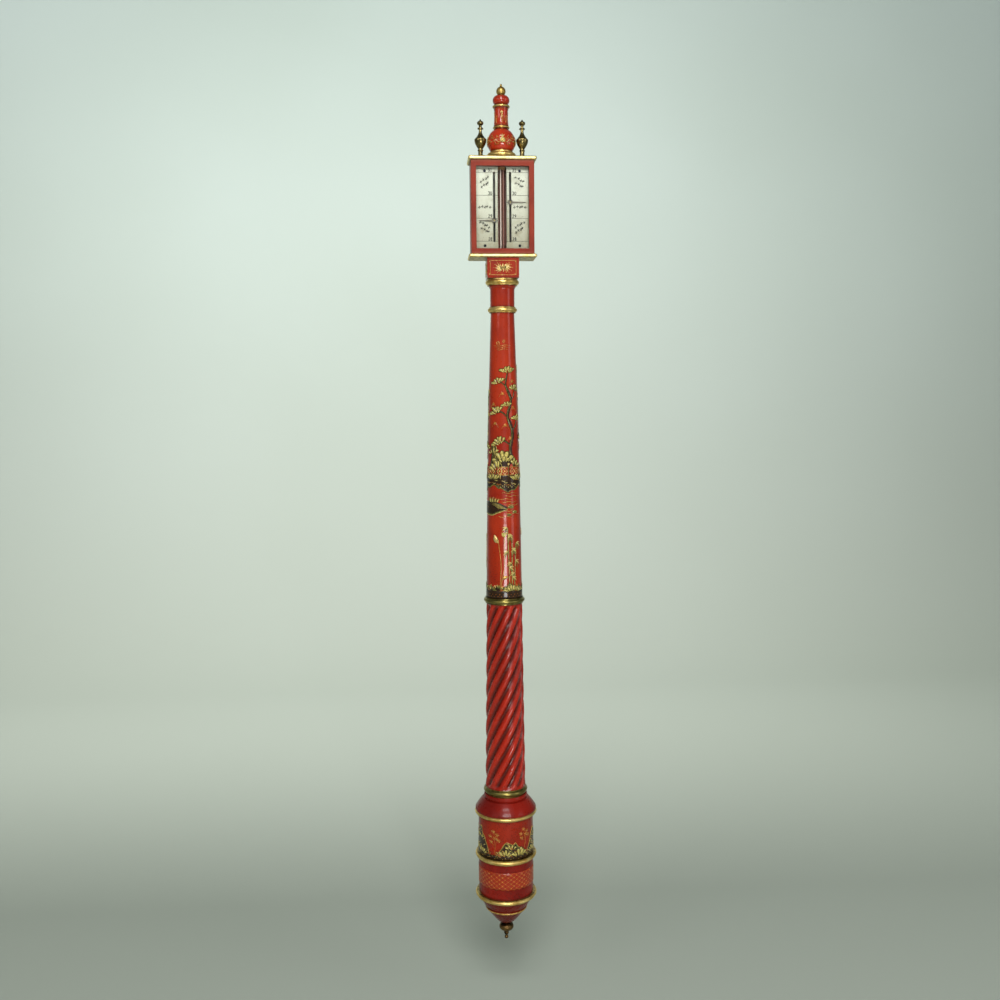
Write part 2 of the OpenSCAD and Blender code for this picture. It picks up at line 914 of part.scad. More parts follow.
module finial_bun() {
    color("firebrick")
    bored_on_rod(z_bun(), bun_h)
    turned(z_bun())
    intersection() {
        union() {
            translate([3.9, bun_h / 2])
            circle(r = bun_h / 2);
            square([3.9, bun_h]);
        }
        square([20, bun_h]);
    }
}

module finial_tip() {
    bulb_r = 5.3;
    color("goldenrod")
    difference() {
        turned(z_tip()) {
            square([3.2, 1]);
            intersection() {
                translate([0, bulb_r - 0.8])
                circle(r = bulb_r);
                square([bulb_r, 2 * bulb_r]);
            }
            polygon([[0, tip_h - 5], [3.2, tip_h - 4.1], [1.5, tip_h - 2.6], [0.9, tip_h],
                [0, tip_h]]);
        }
        rod_down(finial_rod_d() + 2 * joint_fit, z_tip() + 5 + joint_fit, 8);
    }
}

module barometer_tube() {
    color("aliceblue", 0.4)
    turned()
    difference() {
        union() {
            translate([0, tube_foot])
            square([tube_d / 2, tube_top - tube_d / 2 - tube_foot]);
            intersection() {
                translate([0, tube_top - tube_d / 2])
                circle(d = tube_d);
                translate([0, tube_top - tube_d])
                square([tube_d / 2, tube_d]);
            }
        }
        translate([0, tube_foot - 1])
        square([tube_bore / 2, tube_top - tube_d / 2 - tube_foot + 1]);
        translate([0, tube_top - tube_d / 2])
        circle(d = tube_bore);
    }
}

module mercury_column() {
    r = tube_bore / 2 - running_fit;
    dome_r = r * 1.3;
    color("silver")
    turned() {
        translate([0, tube_foot])
        square([r, z_mercury_top - tube_foot - 0.8]);
        intersection() {
            translate([0, z_mercury_top - dome_r])
            circle(r = dome_r);
            translate([0, z_mercury_top - dome_r])
            square([r, dome_r]);
        }
    }
}

module tube_top_cork() {
    cup_d = notch_w - 2 * joint_fit;
    color("peru")
    difference() {
        rod_down(cup_d, z_case_top - 2 * joint_fit, tenon);
        rod_down(tube_d + 2 * joint_fit, tube_top + joint_fit, tenon + 2);
        rod_down(finial_rod_d() + 0.4, z_case_top + 1, 5);
    }
}

module tube_neck_cork() {
    color("peru")
    difference() {
        rod_down(tube_d + 2 * cork_t, z_case_foot - joint_fit, cork_h);
        rod_down(tube_d + 2 * joint_fit, z_case_foot + 1, cork_h + 2);
    }
}

module neck_block() {
    color("firebrick")
    difference() {
        union() {
            slab(block_w, -block_d / 2, block_d, z_block, block_h);
            rod_down(block_tenon_d, z_case_foot - joint_fit, bottom_moulding_t);
        }
        rod_down(tube_way_d, z_case_foot + 3, block_h + bottom_moulding_t + 4);
        rod_down(tube_d + 2 * cork_t + 2 * joint_fit, z_case_foot + 1, cork_h + 1 + 2 * joint_fit);
        rod_down(neck_tenon_d + 2 * joint_fit, z_neck_ring + tenon, tenon + 1);
    }
}

module neck_ring() {
    color("goldenrod")
    turned_ring(neck_ring_d, neck_tenon_d + 2 * joint_fit, neck_ring_t, z_neck_ring);
}

module upper_column() {
    r = upper_column_d / 2;
    color("firebrick")
    difference() {
        union() {
            rod_down(neck_tenon_d, z_neck_ring + tenon - joint_fit, tenon + neck_ring_t);
            turned(z_upper - upper_column_h)
            difference() {
                square([r + cove_out, upper_column_h]);
                translate([r, -1])
                square([cove_out + 1, upper_column_h - cove_h + 1]);
                translate([r + cove_h, upper_column_h - cove_h])
                circle(r = cove_h);
            }
        }
        rod_down(tube_way_d, z_neck_ring + tenon + 1, tenon + neck_ring_t + upper_column_h + 2);
        rod_down(upper_tenon_d + 2 * joint_fit, z_column_ring + tenon, tenon + 1);
    }
}

module column_ring() {
    color("goldenrod")
    turned_ring(column_ring_d, upper_tenon_d + 2 * joint_fit, column_ring_t, z_column_ring);
}

// Radius of the tapered column at a share of its height from the foot: a straight taper
// with a swell that is greatest halfway up
side_steps = 16;
function tapered_radius(share) =
    (tapered_foot_d + (tapered_top_d - tapered_foot_d) * share) / 2
    + entasis * 4 * share * (1 - share);

module tapered_column() {
    side = [for (i = [0:side_steps])
        let (share = i / side_steps) [tapered_radius(share), share * tapered_h]];
    color("firebrick")
    difference() {
        union() {
            rod_down(upper_tenon_d, z_column_ring + tenon - joint_fit, tenon + column_ring_t);
            turned(z_middle_ring)
            polygon(concat([[0, 0]], side, [[0, tapered_h]]));
        }
        rod_down(tube_way_d, z_column_ring + tenon + 1, tenon + column_ring_t + tapered_h + 2);
        rod_down(middle_tenon_d + 2 * joint_fit, z_middle_ring + tenon, tenon + 1);
    }
}

module middle_ring() {
    color([0.5, 0.42, 0.24])
    turned_ring(middle_ring_d, middle_tenon_d + 2 * joint_fit, middle_ring_t, z_middle_ring);
}

// Radius of the twisted column at a share of its height from the foot and an angle
// measured along the reeds. The reeds are broad and round, the hollows narrow and
// sharper, and both die out under the rings.
ring_count = 50;
reed_points = 6;
run_out = 0.02;
function twist_reed(share) = reed_depth * min(1, min(share, 1 - share) / run_out);
function twist_edge(share) = (twist_foot_d + (twist_top_d - twist_foot_d) * share) / 2;
function twist_radius(share, around) =
    twist_edge(share) - 0.2 - twist_reed(share) * pow((1 - cos(around * reeds)) / 2, 1.3);

module twist_body() {
    around = reeds * reed_points;
    points = [for (i = [0:ring_count], j = [0:around - 1])
        let (share = i / ring_count, along = j * 360 / around)
        let (angle = along + share * twist_h * 360 / twist_pitch)
        let (r = twist_radius(share, along))
        [r * cos(angle), r * sin(angle), share * twist_h]];
    sides = [for (i = [0:ring_count - 1], j = [0:around - 1])
        let (a = i * around + j, b = i * around + (j + 1) % around)
        each [[a, b + around, b], [a, a + around, b + around]]];
    foot = [for (j = [0:around - 1]) j];
    top = [for (j = [0:around - 1]) (ring_count + 1) * around - 1 - j];
    polyhedron(points, concat(sides, [foot, top]), convexity = 8);
}

module twist_column() {
    color("firebrick")
    difference() {
        union() {
            at_axis(0, z_twist_ring)
            twist_body();
            rod_down(middle_tenon_d, z_middle_ring + tenon - joint_fit,
                tenon + middle_ring_t + tiny);
        }
        rod_down(tube_way_d, z_middle_ring + tenon + 1, tenon + middle_ring_t + twist_h + 2);
        rod_down(shoulder_tenon_d + 2 * joint_fit, z_twist_ring + tenon, tenon + 1);
    }
}

module twist_ring() {
    color([0.5, 0.42, 0.24])
    turned_ring(twist_ring_d, shoulder_tenon_d + 2 * joint_fit, twist_ring_t, z_twist_ring);
}

// Threaded skirt that joins a piece above or below a drum, from height z down by h
module drum_skirt(z, h) {
    difference() {
        rod_down(drum_tenon_d, z, h);
        rod_down(drum_bore, z + 1, h + 2);
    }
}

// Neck, quirk and swelling slope that widen from the twist's ring to the drums
module shoulder_profile() {
    edge_r = drum_ring_d / 2 - 0.7;
    neck_r = twist_ring_d / 2 - 0.2;
    slope_h = shoulder_h - shoulder_neck_h - 1.1;
    slope_r = neck_r + 1.3;
    polygon(concat(
        [[0, shoulder_h], [neck_r - 0.6, shoulder_h], [neck_r - 0.1, shoulder_h - 1.6],
            [neck_r, shoulder_h - shoulder_neck_h * 0.7],
            [neck_r - 0.5, shoulder_h - shoulder_neck_h],
            [neck_r - 1.2, shoulder_h - shoulder_neck_h - 0.2],
            [neck_r - 1.2, slope_h + 0.3]],
        [for (i = [0:12]) let (share = i / 12, swell = shoulder_swell * sin(180 * share))
            [slope_r + (edge_r - slope_r) * share + swell * 0.83,
                2 + (slope_h - 2) * (1 - share) + swell * 0.55]],
        [[edge_r, 0], [0, 0]]));
}

module shoulder() {
    color("firebrick")
    difference() {
        union() {
            rod_down(shoulder_tenon_d, z_twist_ring + tenon - joint_fit, tenon + twist_ring_t);
            turned(z_shoulder_ring)
            shoulder_profile();
        }
        rod_down(tube_way_d, z_twist_ring + tenon + 1, 2 * tenon + twist_ring_t + shoulder_h);
    }
    color("firebrick")
    drum_skirt(z_shoulder_ring + tiny, shoulder_ring_t + drum_tenon + tiny);
}

module shoulder_ring() {
    color("goldenrod")
    turned_ring(drum_ring_d, drum_tenon_d + 2 * joint_fit, shoulder_ring_t, z_shoulder_ring);
}

module upper_drum() {
    color("firebrick")
    difference() {
        rod_down(drum_d, z_upper_drum, upper_drum_h);
        rod_down(drum_bore, z_upper_drum + 1, upper_drum_h + 2);
        rod_down(drum_tenon_d + 2 * joint_fit, z_upper_drum + 1, drum_tenon + 1 + joint_fit);
        rod_down(drum_tenon_d + 2 * joint_fit, z_drum_ring + drum_tenon + joint_fit,
            drum_tenon + 1);
    }
}

module drum_ring() {
    color("goldenrod")
    turned_ring(drum_ring_d - 0.7, drum_tenon_d + 2 * joint_fit, drum_ring_t, z_drum_ring);
}

// The lower drum has a ledge inside on which the cistern cup stands
module lower_drum() {
    color("firebrick") {
        difference() {
            rod_down(drum_d, z_lower_drum, lower_drum_h);
            rod_down(drum_bore, z_lower_drum + 1, lower_drum_h + 2);
            rod_down(drum_tenon_d + 2 * joint_fit, z_base_ring + drum_tenon + joint_fit,
                drum_tenon + 1);
        }
        difference() {
            rod_down(drum_bore + 1, z_cup_foot, ledge_t);
            rod_down(ledge_bore, z_cup_foot + 1, ledge_t + 2);
        }
        drum_skirt(z_drum_ring + drum_tenon, drum_tenon + drum_ring_t + tiny);
    }
}

module base_ring() {
    color("goldenrod")
    turned_ring(drum_ring_d - 0.4, drum_tenon_d + 2 * joint_fit, base_ring_t, z_base_ring);
}

// Stepped outside of the bowl under its rim: a swelling band, a cove, a bead and a cup.
// Each point is a share of the way from the nose to the rim and a share of the height.
function bowl_band() = [[1, 0], [0.955, 0.056], [0.914, 0.11], [0.87, 0.17], [0.824, 0.225],
    [0.78, 0.28], [0.744, 0.325], [0.716, 0.352], [0.672, 0.362], [0.652, 0.376],
    [0.648, 0.4]];
function bowl_cup() = [for (i = [0:9]) let (share = i / 9)
    [0.6 * pow(1 - share, 0.75), 0.487 + 0.513 * share]];

module bowl_profile() {
    nose_r = bowl_nose_d / 2;
    inward = drum_d / 2 + 0.4 - nose_r;
    bead_r = bowl_h * 0.044;
    polygon(concat(
        [[0, 0]],
        [for (p = concat(bowl_band(), bowl_cup())) [nose_r + inward * p[0], -bowl_h * p[1]]],
        [[0, -bowl_h]]));
    translate([nose_r + inward * 0.648 - bead_r * 0.5, -bowl_h * 0.443])
    circle(r = bead_r);
}

// Bowl with a pad chamber, two guide pins for the pad and the way of the portable screw
module base_bowl() {
    color("firebrick") {
        difference() {
            turned(z_bowl)
            bowl_profile();
            rod_down(bowl_cavity_d, z_bowl + 1, z_bowl - z_bowl_floor + 1);
            rod_down(knob_stem_d + 2 * running_fit, z_bowl_floor + 1, bowl_h);
        }
        drum_skirt(z_base_ring + drum_tenon, drum_tenon + base_ring_t + tiny);
        for (side = [-1, 1])
            rod_down(guide_d, guide_top(), guide_top() - z_bowl_floor + 1, side * guide_x);
    }
}

function guide_top() = z_pad + pad_travel - pad_t + 1;

module cistern_cup() {
    color("burlywood")
    difference() {
        union() {
            rod_down(cistern_d, z_cup, cistern_h);
            rod_down(cup_spigot_d, z_cup, cistern_h + cup_spigot);
        }
        rod_down(cup_bore, z_cup + 1, cistern_h + cup_spigot + 2);
        turned(z_spigot + 2.4)
        translate([cup_spigot_d / 2 + 0.4, 0])
        circle(r = 0.9);
    }
}

module cistern_lid() {
    color("burlywood")
    difference() {
        union() {
            rod_down(cistern_d, z_shoulder_ring, lid_t);
            rod_down(cup_bore - 2 * joint_fit, z_cup + tiny, lid_spigot);
        }
        rod_down(tube_d + 2 * cork_t + 2 * joint_fit, z_shoulder_ring + 1, lid_t + lid_spigot + 2);
    }
}

module cistern_cork() {
    color("peru")
    difference() {
        rod_down(tube_d + 2 * cork_t, z_shoulder_ring - joint_fit, lid_t + lid_spigot + 2);
        rod_down(tube_d + 2 * joint_fit, z_shoulder_ring + 1, lid_t + lid_spigot + 4);
    }
}

// Radius of the round dish whose rim has radius rim and whose depth is depth
function dish_r(rim, depth) = (rim * rim + depth * depth) / (2 * depth);

module mercury_pool() {
    r = cup_bore / 2 - running_fit;
    depth = bag_depth - leather_t - joint_fit;
    round_r = dish_r(bag_rim_d / 2 - leather_t, depth);
    color("silver")
    difference() {
        turned() {
            translate([0, z_spigot])
            square([r, z_mercury_level - z_spigot]);
            intersection() {
                translate([0, z_spigot - depth + round_r])
                circle(r = round_r, $fn = 180);
                translate([0, z_spigot - depth])
                square([r, depth + tiny]);
            }
        }
        rod_down(tube_d + 2 * running_fit, z_mercury_level + 1, z_mercury_level + 1 - tube_foot);
    }
}

// The bag is tied round the cup's spigot and hangs under it as a shallow dish
module leather_bag() {
    rim = bag_rim_d / 2;
    outer_r = dish_r(rim, bag_depth);
    inner_r = dish_r(rim - leather_t, bag_depth - leather_t);
    color("tan")
    turned() {
        translate([rim - leather_t, z_spigot])
        square([leather_t, cup_spigot - 1]);
        difference() {
            intersection() {
                translate([0, z_spigot - bag_depth + outer_r])
                circle(r = outer_r, $fn = 180);
                translate([0, z_spigot - bag_depth])
                square([rim, bag_depth]);
            }
            translate([0, z_spigot - bag_depth + leather_t + inner_r])
            circle(r = inner_r, $fn = 180);
        }
    }
}

module bag_binding() {
    color("wheat")
    turned(z_spigot + 1.2)
    for (turn = [0:2])
        translate([bag_rim_d / 2 + joint_fit + 0.4, turn * 0.79])
        circle(r = 0.4, $fn = 24);
}

module pressure_pad() {
    color("burlywood")
    difference() {
        rod_down(pad_d, z_pad, pad_t);
        rod_down(pad_nut_d - 2, z_pad - pad_nut_seat + 2, 6);
        for (side = [-1, 1])
            rod_down(guide_d + 4 * running_fit, z_pad + 1, pad_t + 2, side * guide_x);
    }
    color("goldenrod")
    difference() {
        rod_down(pad_nut_d, z_pad - pad_t + tiny, pad_nut_h - pad_t);
        rod_down(portable_screw_d + 2 * running_fit, z_pad - 1, pad_nut_h + 2);
    }
}

// Screw that lifts the pad, with its captive collar over the floor of the bowl
module portable_screw() {
    collar_z = z_bowl_floor + moving_gap + thrust_collar_t;
    color("slategray") {
        rod_down(portable_screw_d, z_pad - 2, z_pad - 2 - collar_z + tiny);
        rod_down(thrust_bush_d, collar_z, thrust_collar_t);
        rod_down(knob_stem_d, z_bowl_floor + moving_gap + tiny,
            z_bowl_floor + moving_gap - z_knob + 4);
    }
}

// Turned knob under the bowl: a flat bulb and two small ones
module bottom_knob() {
    r = knob_d / 2;
    color([0.45, 0.38, 0.22])
    difference() {
        turned(z_knob) {
            intersection() {
                translate([0, -5.8])
                scale([1, 0.66])
                circle(r = r);
                translate([0, -12])
                square([r, 12]);
            }
            translate([0, -14])
            square([1.6, 6]);
            translate([0, -19])
            square([1.3, 6]);
            intersection() {
                translate([0, -14])
                circle(r = 2.9);
                translate([0, -18])
                square([3, 8]);
            }
            intersection() {
                translate([0, -19.5])
                circle(r = 2.3);
                translate([0, -22])
                square([3, 5]);
            }
        }
        rod_down(knob_stem_d + 2 * joint_fit, z_knob + 1, 5 + joint_fit);
    }
}

hanging_strap();
strap_screws();
top_moulding();
hood_case();
front_frame();
window_glass();
glazing_bead();
backing_board();
top_block();
bottom_block();
bottom_moulding();
left_scale_plate();
right_scale_plate();
plate_screws();
left_carriage();
right_carriage();
left_pointer();
right_pointer();
left_lead_screw();
right_lead_screw();
left_urn_key();
right_urn_key();
key_bushes();
screw_footsteps();
finial_rod();
ball_ring();
finial_ball();
ball_top_ring();
finial_neck();
neck_top_ring();
finial_bun();
finial_tip();
barometer_tube();
mercury_column();
tube_top_cork();
tube_neck_cork();
neck_block();
neck_ring();
upper_column();
column_ring();
tapered_column();
middle_ring();
twist_column();
twist_ring();
shoulder();
shoulder_ring();
upper_drum();
drum_ring();
lower_drum();
base_ring();
base_bowl();
cistern_cup();
cistern_lid();
cistern_cork();
mercury_pool();
leather_bag();
bag_binding();
pressure_pad();
portable_screw();
bottom_knob();
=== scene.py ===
"""Looks of a japanned pillar barometer: finishes, painted decoration, engraving and studio.

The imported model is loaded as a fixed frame. Each class below dresses one sub-assembly and adds
the pieces that its plain solids can't give: the carved twist, the raised paint, the engraving,
the threads and the pleated bag. Lengths are millimetres unless a docstring says metres.
"""

from __future__ import annotations

import logging
import math
from collections.abc import Sequence
from dataclasses import dataclass, field
from enum import Enum
from functools import cached_property

import bmesh
import bpy
import numpy as np
from mathutils import Matrix, Vector


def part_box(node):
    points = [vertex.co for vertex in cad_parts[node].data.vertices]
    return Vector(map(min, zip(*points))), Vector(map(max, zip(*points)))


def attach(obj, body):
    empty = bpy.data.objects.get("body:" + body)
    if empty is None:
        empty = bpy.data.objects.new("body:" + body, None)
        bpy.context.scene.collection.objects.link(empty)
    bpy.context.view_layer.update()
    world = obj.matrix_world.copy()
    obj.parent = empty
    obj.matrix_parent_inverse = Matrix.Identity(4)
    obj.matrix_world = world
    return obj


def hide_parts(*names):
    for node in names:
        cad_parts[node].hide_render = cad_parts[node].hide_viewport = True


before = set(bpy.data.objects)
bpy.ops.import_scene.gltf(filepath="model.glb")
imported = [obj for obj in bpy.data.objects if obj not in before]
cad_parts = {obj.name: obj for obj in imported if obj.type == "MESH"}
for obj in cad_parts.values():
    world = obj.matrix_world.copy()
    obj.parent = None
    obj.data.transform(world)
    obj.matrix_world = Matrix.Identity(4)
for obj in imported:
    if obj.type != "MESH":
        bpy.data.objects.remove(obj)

log = logging.getLogger("barometer")
MM = 0.001
CASE = "case_and_column"
RED = "red_japan"
FULL_TURN = 2 * np.pi
Place = tuple[float, float]
Points = Sequence[Place]
Corner = tuple[float, float, float]
Socket = bpy.types.NodeSocket


def linear(hex_colour: str) -> tuple[float, float, float, float]:
    """Linear colour of an sRGB hex value.

    Args:
        hex_colour: six hex digits after a hash sign.

    Returns:
        Red, green, blue and an alpha of one, as the shader sockets take them.
    """
    parts = [int(hex_colour[i : i + 2], 16) / 255 for i in (1, 3, 5)]
    red, green, blue = (p / 12.92 if p <= 0.04045 else ((p + 0.055) / 1.055) ** 2.4 for p in parts)
    return red, green, blue, 1.0


def per_mm(size: float) -> float:
    """Texture scale at which one feature of a pattern measures size millimetres."""
    return 1 / (size * MM)


def limits(low: float, high: float, first: float = 0.0, last: float = 1.0) -> dict[str, float]:
    """Limits of a range that takes low to first and high to last."""
    return {"From Min": low, "From Max": high, "To Min": first, "To Max": last}


class Form(Enum):
    """How a piece was made, which decides where hands and cloths wear it."""

    TURNED = "turned"
    JOINED = "joined"


@dataclass(frozen=True)
class Extent:
    """Lowest and highest corner of a piece, in metres, and how it was made."""

    low: Corner
    high: Corner
    form: Form = Form.TURNED

    @classmethod
    def of(cls, node: str, form: Form = Form.TURNED) -> Extent:
        """Extent of a CAD node at rest."""
        low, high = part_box(node)
        return cls(tuple(low), tuple(high), form)

    @property
    def middle(self) -> Corner:
        """Centre of the extent, in metres."""
        return tuple((a + b) / 2 for a, b in zip(self.low, self.high))

    @property
    def radius(self) -> float:
        """Half of the width, in metres."""
        return (self.high[0] - self.low[0]) / 2

    @property
    def foot(self) -> float:
        """Height of the lowest point."""
        return self.low[2] / MM

    @property
    def top(self) -> float:
        """Height of the highest point."""
        return self.high[2] / MM


@dataclass
class Recipe:
    """A node tree under way, with the extent of the piece that it dresses."""

    tree: bpy.types.NodeTree
    extent: Extent | None = None

    def __post_init__(self) -> None:
        """Empties the tree."""
        self.tree.nodes.clear()

    @cached_property
    def place(self) -> Socket:
        """Object coordinates."""
        return self.add("TexCoord", out="Object")

    def add(self, kind: str, inputs: dict | None = None, out: str = "", **settings) -> Socket:
        """Adds a node with its settings and links.

        Args:
            kind: the node's type, after the words that all types share.
            inputs: value, hex colour or output socket for each input, by name or by number.
            out: name of the output to return, or nothing for the first one in use.
            settings: the node's own options.

        Returns:
            The chosen output socket.
        """
        node = self.tree.nodes.new(f"ShaderNode{kind}")
        for key, value in settings.items():
            setattr(node, key, value)
        for key, value in (inputs or {}).items():
            if isinstance(key, int):
                socket = node.inputs[key]
            else:
                socket = next(s for s in node.inputs if s.name == key and s.enabled)
            if isinstance(value, Socket):
                self.tree.links.new(value, socket)
            else:
                socket.default_value = linear(value) if isinstance(value, str) else value
        return node.outputs[out] if out else next((s for s in node.outputs if s.enabled), None)

    def patches(self, size: float, low: float, high: float, most: float = 1.0, **noise) -> Socket:
        """Soft patches: noise of a real size, cut between two of its values.

        Args:
            size: size of a patch.
            low: value below which the factor is zero.
            high: value from which it is at its most.
            most: the greatest factor.
            noise: other inputs of the noise; Vector is the object coordinates unless given.

        Returns:
            The factor.
        """
        cloud = self.add("TexNoise", {"Vector": self.place, "Scale": per_mm(size)} | noise)
        return self.add("MapRange", {"Value": cloud} | limits(low, high, 0, most))

    def coats(self, ground: str | Socket, *layers: tuple[Socket, str | Socket]) -> Socket:
        """Colours laid over a ground one after another.

        Args:
            ground: the first colour.
            layers: factor and colour of each coat, from the lowest.

        Returns:
            The colour that shows.
        """
        for factor, colour in layers:
            mixed = {"Factor": factor, "A": ground, "B": colour}
            ground = self.add("Mix", mixed, data_type="RGBA")
        return ground

    def near_faces(self) -> Socket:
        """For each direction, the distance to the nearer face of the extent."""
        below = self.add("VectorMath", {0: self.place, 1: self.extent.low}, operation="SUBTRACT")
        above = self.add("VectorMath", {0: self.extent.high, 1: self.place}, operation="SUBTRACT")
        return self.add("VectorMath", {0: below, 1: above}, operation="MINIMUM")

    def rubbed(self, reach: float) -> Socket:
        """Where a piece is handled: the crest of a turned piece or the arrises of a joined one.

        For a joined piece the second smallest of the three distances to its faces is small only
        near an edge. For a turned one the distance from the axis comes close to the largest radius.

        Args:
            reach: width of the worn strip.

        Returns:
            A factor that is one at the most worn places.
        """
        if self.extent.form is Form.TURNED:
            from_axis = self.add("VectorMath", {0: self.place, 1: self.extent.middle}, operation="SUBTRACT")
            flat = self.add("VectorMath", {0: from_axis, 1: (1, 1, 0)}, operation="MULTIPLY")
            radius = self.add("VectorMath", {0: flat}, out="Value", operation="LENGTH")
            widest = self.extent.radius
            return self.add("MapRange", {"Value": radius} | limits(widest - reach * MM, widest))
        x, y, z = self.add("SeparateXYZ", {"Vector": self.near_faces()}).node.outputs
        least = self.add("Math", {0: x, 1: y}, operation="MINIMUM")
        most = self.add("Math", {0: x, 1: y}, operation="MAXIMUM")
        most = self.add("Math", {0: most, 1: z}, operation="MINIMUM")
        second = self.add("Math", {0: least, 1: most}, operation="MAXIMUM")
        return self.add("MapRange", {"Value": second} | limits(0, reach * MM, 1, 0))

    def ends(self, reach: float) -> Socket:
        """Nearness to the top and bottom of a piece.

        Args:
            reach: how far it fades.

        Returns:
            A factor that is one at both ends.
        """
        height = self.add("SeparateXYZ", {"Vector": self.near_faces()}, out="Z")
        fade = {"Value": height} | limits(0, reach * MM, 1, 0)
        return self.add("MapRange", fade, interpolation_type="SMOOTHSTEP")

    def bump(self, height: Socket, strength: float, step: float, **settings) -> dict[str, Socket]:
        """Relief of a surface.

        Args:
            height: the pattern that stands up.
            strength: share of the relief that is used.
            step: height of the pattern.
            settings: options, such as the one that sinks the pattern instead.

        Returns:
            The shader's normal input.
        """
        relief = {"Height": height, "Strength": strength, "Distance": step * MM}
        return {"Normal": self.add("Bump", relief, **settings)}


@dataclass(frozen=True)
class Finish:
    """A surface finish: its name, main colour and gloss."""

    name: str
    colour: str
    roughness: float = 0.4

    def material(self, label: str, extent: Extent | None = None) -> bpy.types.Material:
        """Builds the material of one piece.

        Args:
            label: what it dresses.
            extent: the piece's extent, for its wear.

        Returns:
            The material.
        """
        material = bpy.data.materials.new(f"{self.name}_{label}")
        material.use_nodes = True
        recipe = Recipe(material.node_tree, extent)
        plain = {"Base Color": self.colour, "Roughness": self.roughness}
        shader = recipe.add("BsdfPrincipled", plain | self.pattern(recipe))
        recipe.add("OutputMaterial", {"Surface": shader})
        recipe.tree.nodes[-1].is_active_output = True
        return material

    def pattern(self, on: Recipe) -> dict:
        """Inputs of the shader, by name, that the finish adds on a piece's recipe."""
        raise NotImplementedError


@dataclass(frozen=True)
class Japan(Finish):
    """Japanned wood: coloured varnish rubbed smooth over gesso.

    It gives a deep, slightly uneven colour under a clear gloss, darker by the ends of each piece and
    rubbed through to a brown ground on the arrises; on carved pieces the hollows carry painted shade.
    """

    shade: str = "#701710"
    ground: str = "#4A2114"
    rub: float = 0.5
    coat: float = 0.55
    bare_back: bool = False
    hollows: str = ""

    def pattern(self, on: Recipe) -> dict:
        """Tone, brush drag, darker ends, wear, painted shade in hollows and old cracks under varnish.

        Args:
            on: the piece's recipe.

        Returns:
            Shader inputs by name.
        """
        tone = on.patches(38, 0.38, 0.66, Detail=3, Roughness=0.55)
        # Brush drag: fine streaks ten times longer than wide, along the piece
        drawn = on.add("Mapping", {"Vector": on.place, "Scale": (1.0, 1.0, 0.1)})
        streak = on.patches(0.9, 0.5, 0.85, 0.22, Vector=drawn, Detail=2)
        blotch_noise = on.add("TexNoise", {"Vector": on.place, "Scale": per_mm(5), "Detail": 4.0})
        # Darker towards the top and bottom of the piece, in blotches
        dirt = on.add("Math", {0: on.ends(3.2), 1: blotch_noise}, operation="MULTIPLY")
        chips = on.patches(1.6, 0.6 - 0.1 * self.rub, 0.64, Detail=5, Roughness=0.7)
        worn = on.add("Math", {0: on.rubbed(1.1), 1: chips}, operation="MULTIPLY")
        layers = [(tone, self.shade)] + [(factor, self.ground) for factor in (streak, dirt, worn)]
        # Painted shade in the carved hollows, also standing for darkened old varnish: more ground where
        # deeper
        if self.hollows:
            deep = on.add("Attribute", out="Fac", attribute_name=self.hollows)
            deep = on.add("MapRange", {"Value": deep} | limits(0.25, 0.95, 0, 0.9))
            layers.append((deep, self.ground))
        if self.bare_back:
            y = on.add("SeparateXYZ", {"Vector": on.place}, out="Y")
            wall = on.extent.high[1]
            back = on.add("MapRange", {"Value": y} | limits(wall - 0.5 * MM, wall - 0.3 * MM))
            grain = on.add("Mapping", {"Vector": on.place, "Scale": (1.0, 1.0, 0.05)})
            grain = on.add("TexNoise", {"Vector": grain, "Scale": per_mm(1.2), "Detail": 4.0})
            layers.append((back, on.coats("#2A140C", (grain, "#5B3420"))))
        # Fine cracks of old varnish, each cell about seven millimetres, in patches only
        cells = {"Vector": on.place, "Scale": per_mm(7), "Randomness": 1.0}
        cracks = on.add("TexVoronoi", cells, feature="DISTANCE_TO_EDGE")
        cracks = on.add("MapRange", {"Value": cracks} | limits(0, 0.018, 1, 0))
        cracked = on.add("MapRange", {"Value": blotch_noise} | limits(0.52, 0.62))
        cracks = on.add("Math", {0: cracks, 1: cracked}, operation="MULTIPLY")
        faint = on.add("Math", {0: cracks, 1: 0.35}, operation="MULTIPLY")
        wave = on.add("TexNoise", {"Vector": on.place, "Scale": per_mm(6), "Detail": 2.0})
        height = on.add("Math", {0: wave, 1: cracks}, operation="SUBTRACT")
        gloss = {"Value": blotch_noise} | limits(0.3, 0.7, self.roughness - 0.06, self.roughness + 0.1)
        return {
            "Base Color": on.coats(self.colour, *layers, (faint, self.ground)),
            "Roughness": on.add("MapRange", gloss),
            "Coat Weight": self.coat,
            "Coat Roughness": 0.07,
            "Specular IOR Level": 0.14,
        } | on.bump(height, 0.35, 0.12)


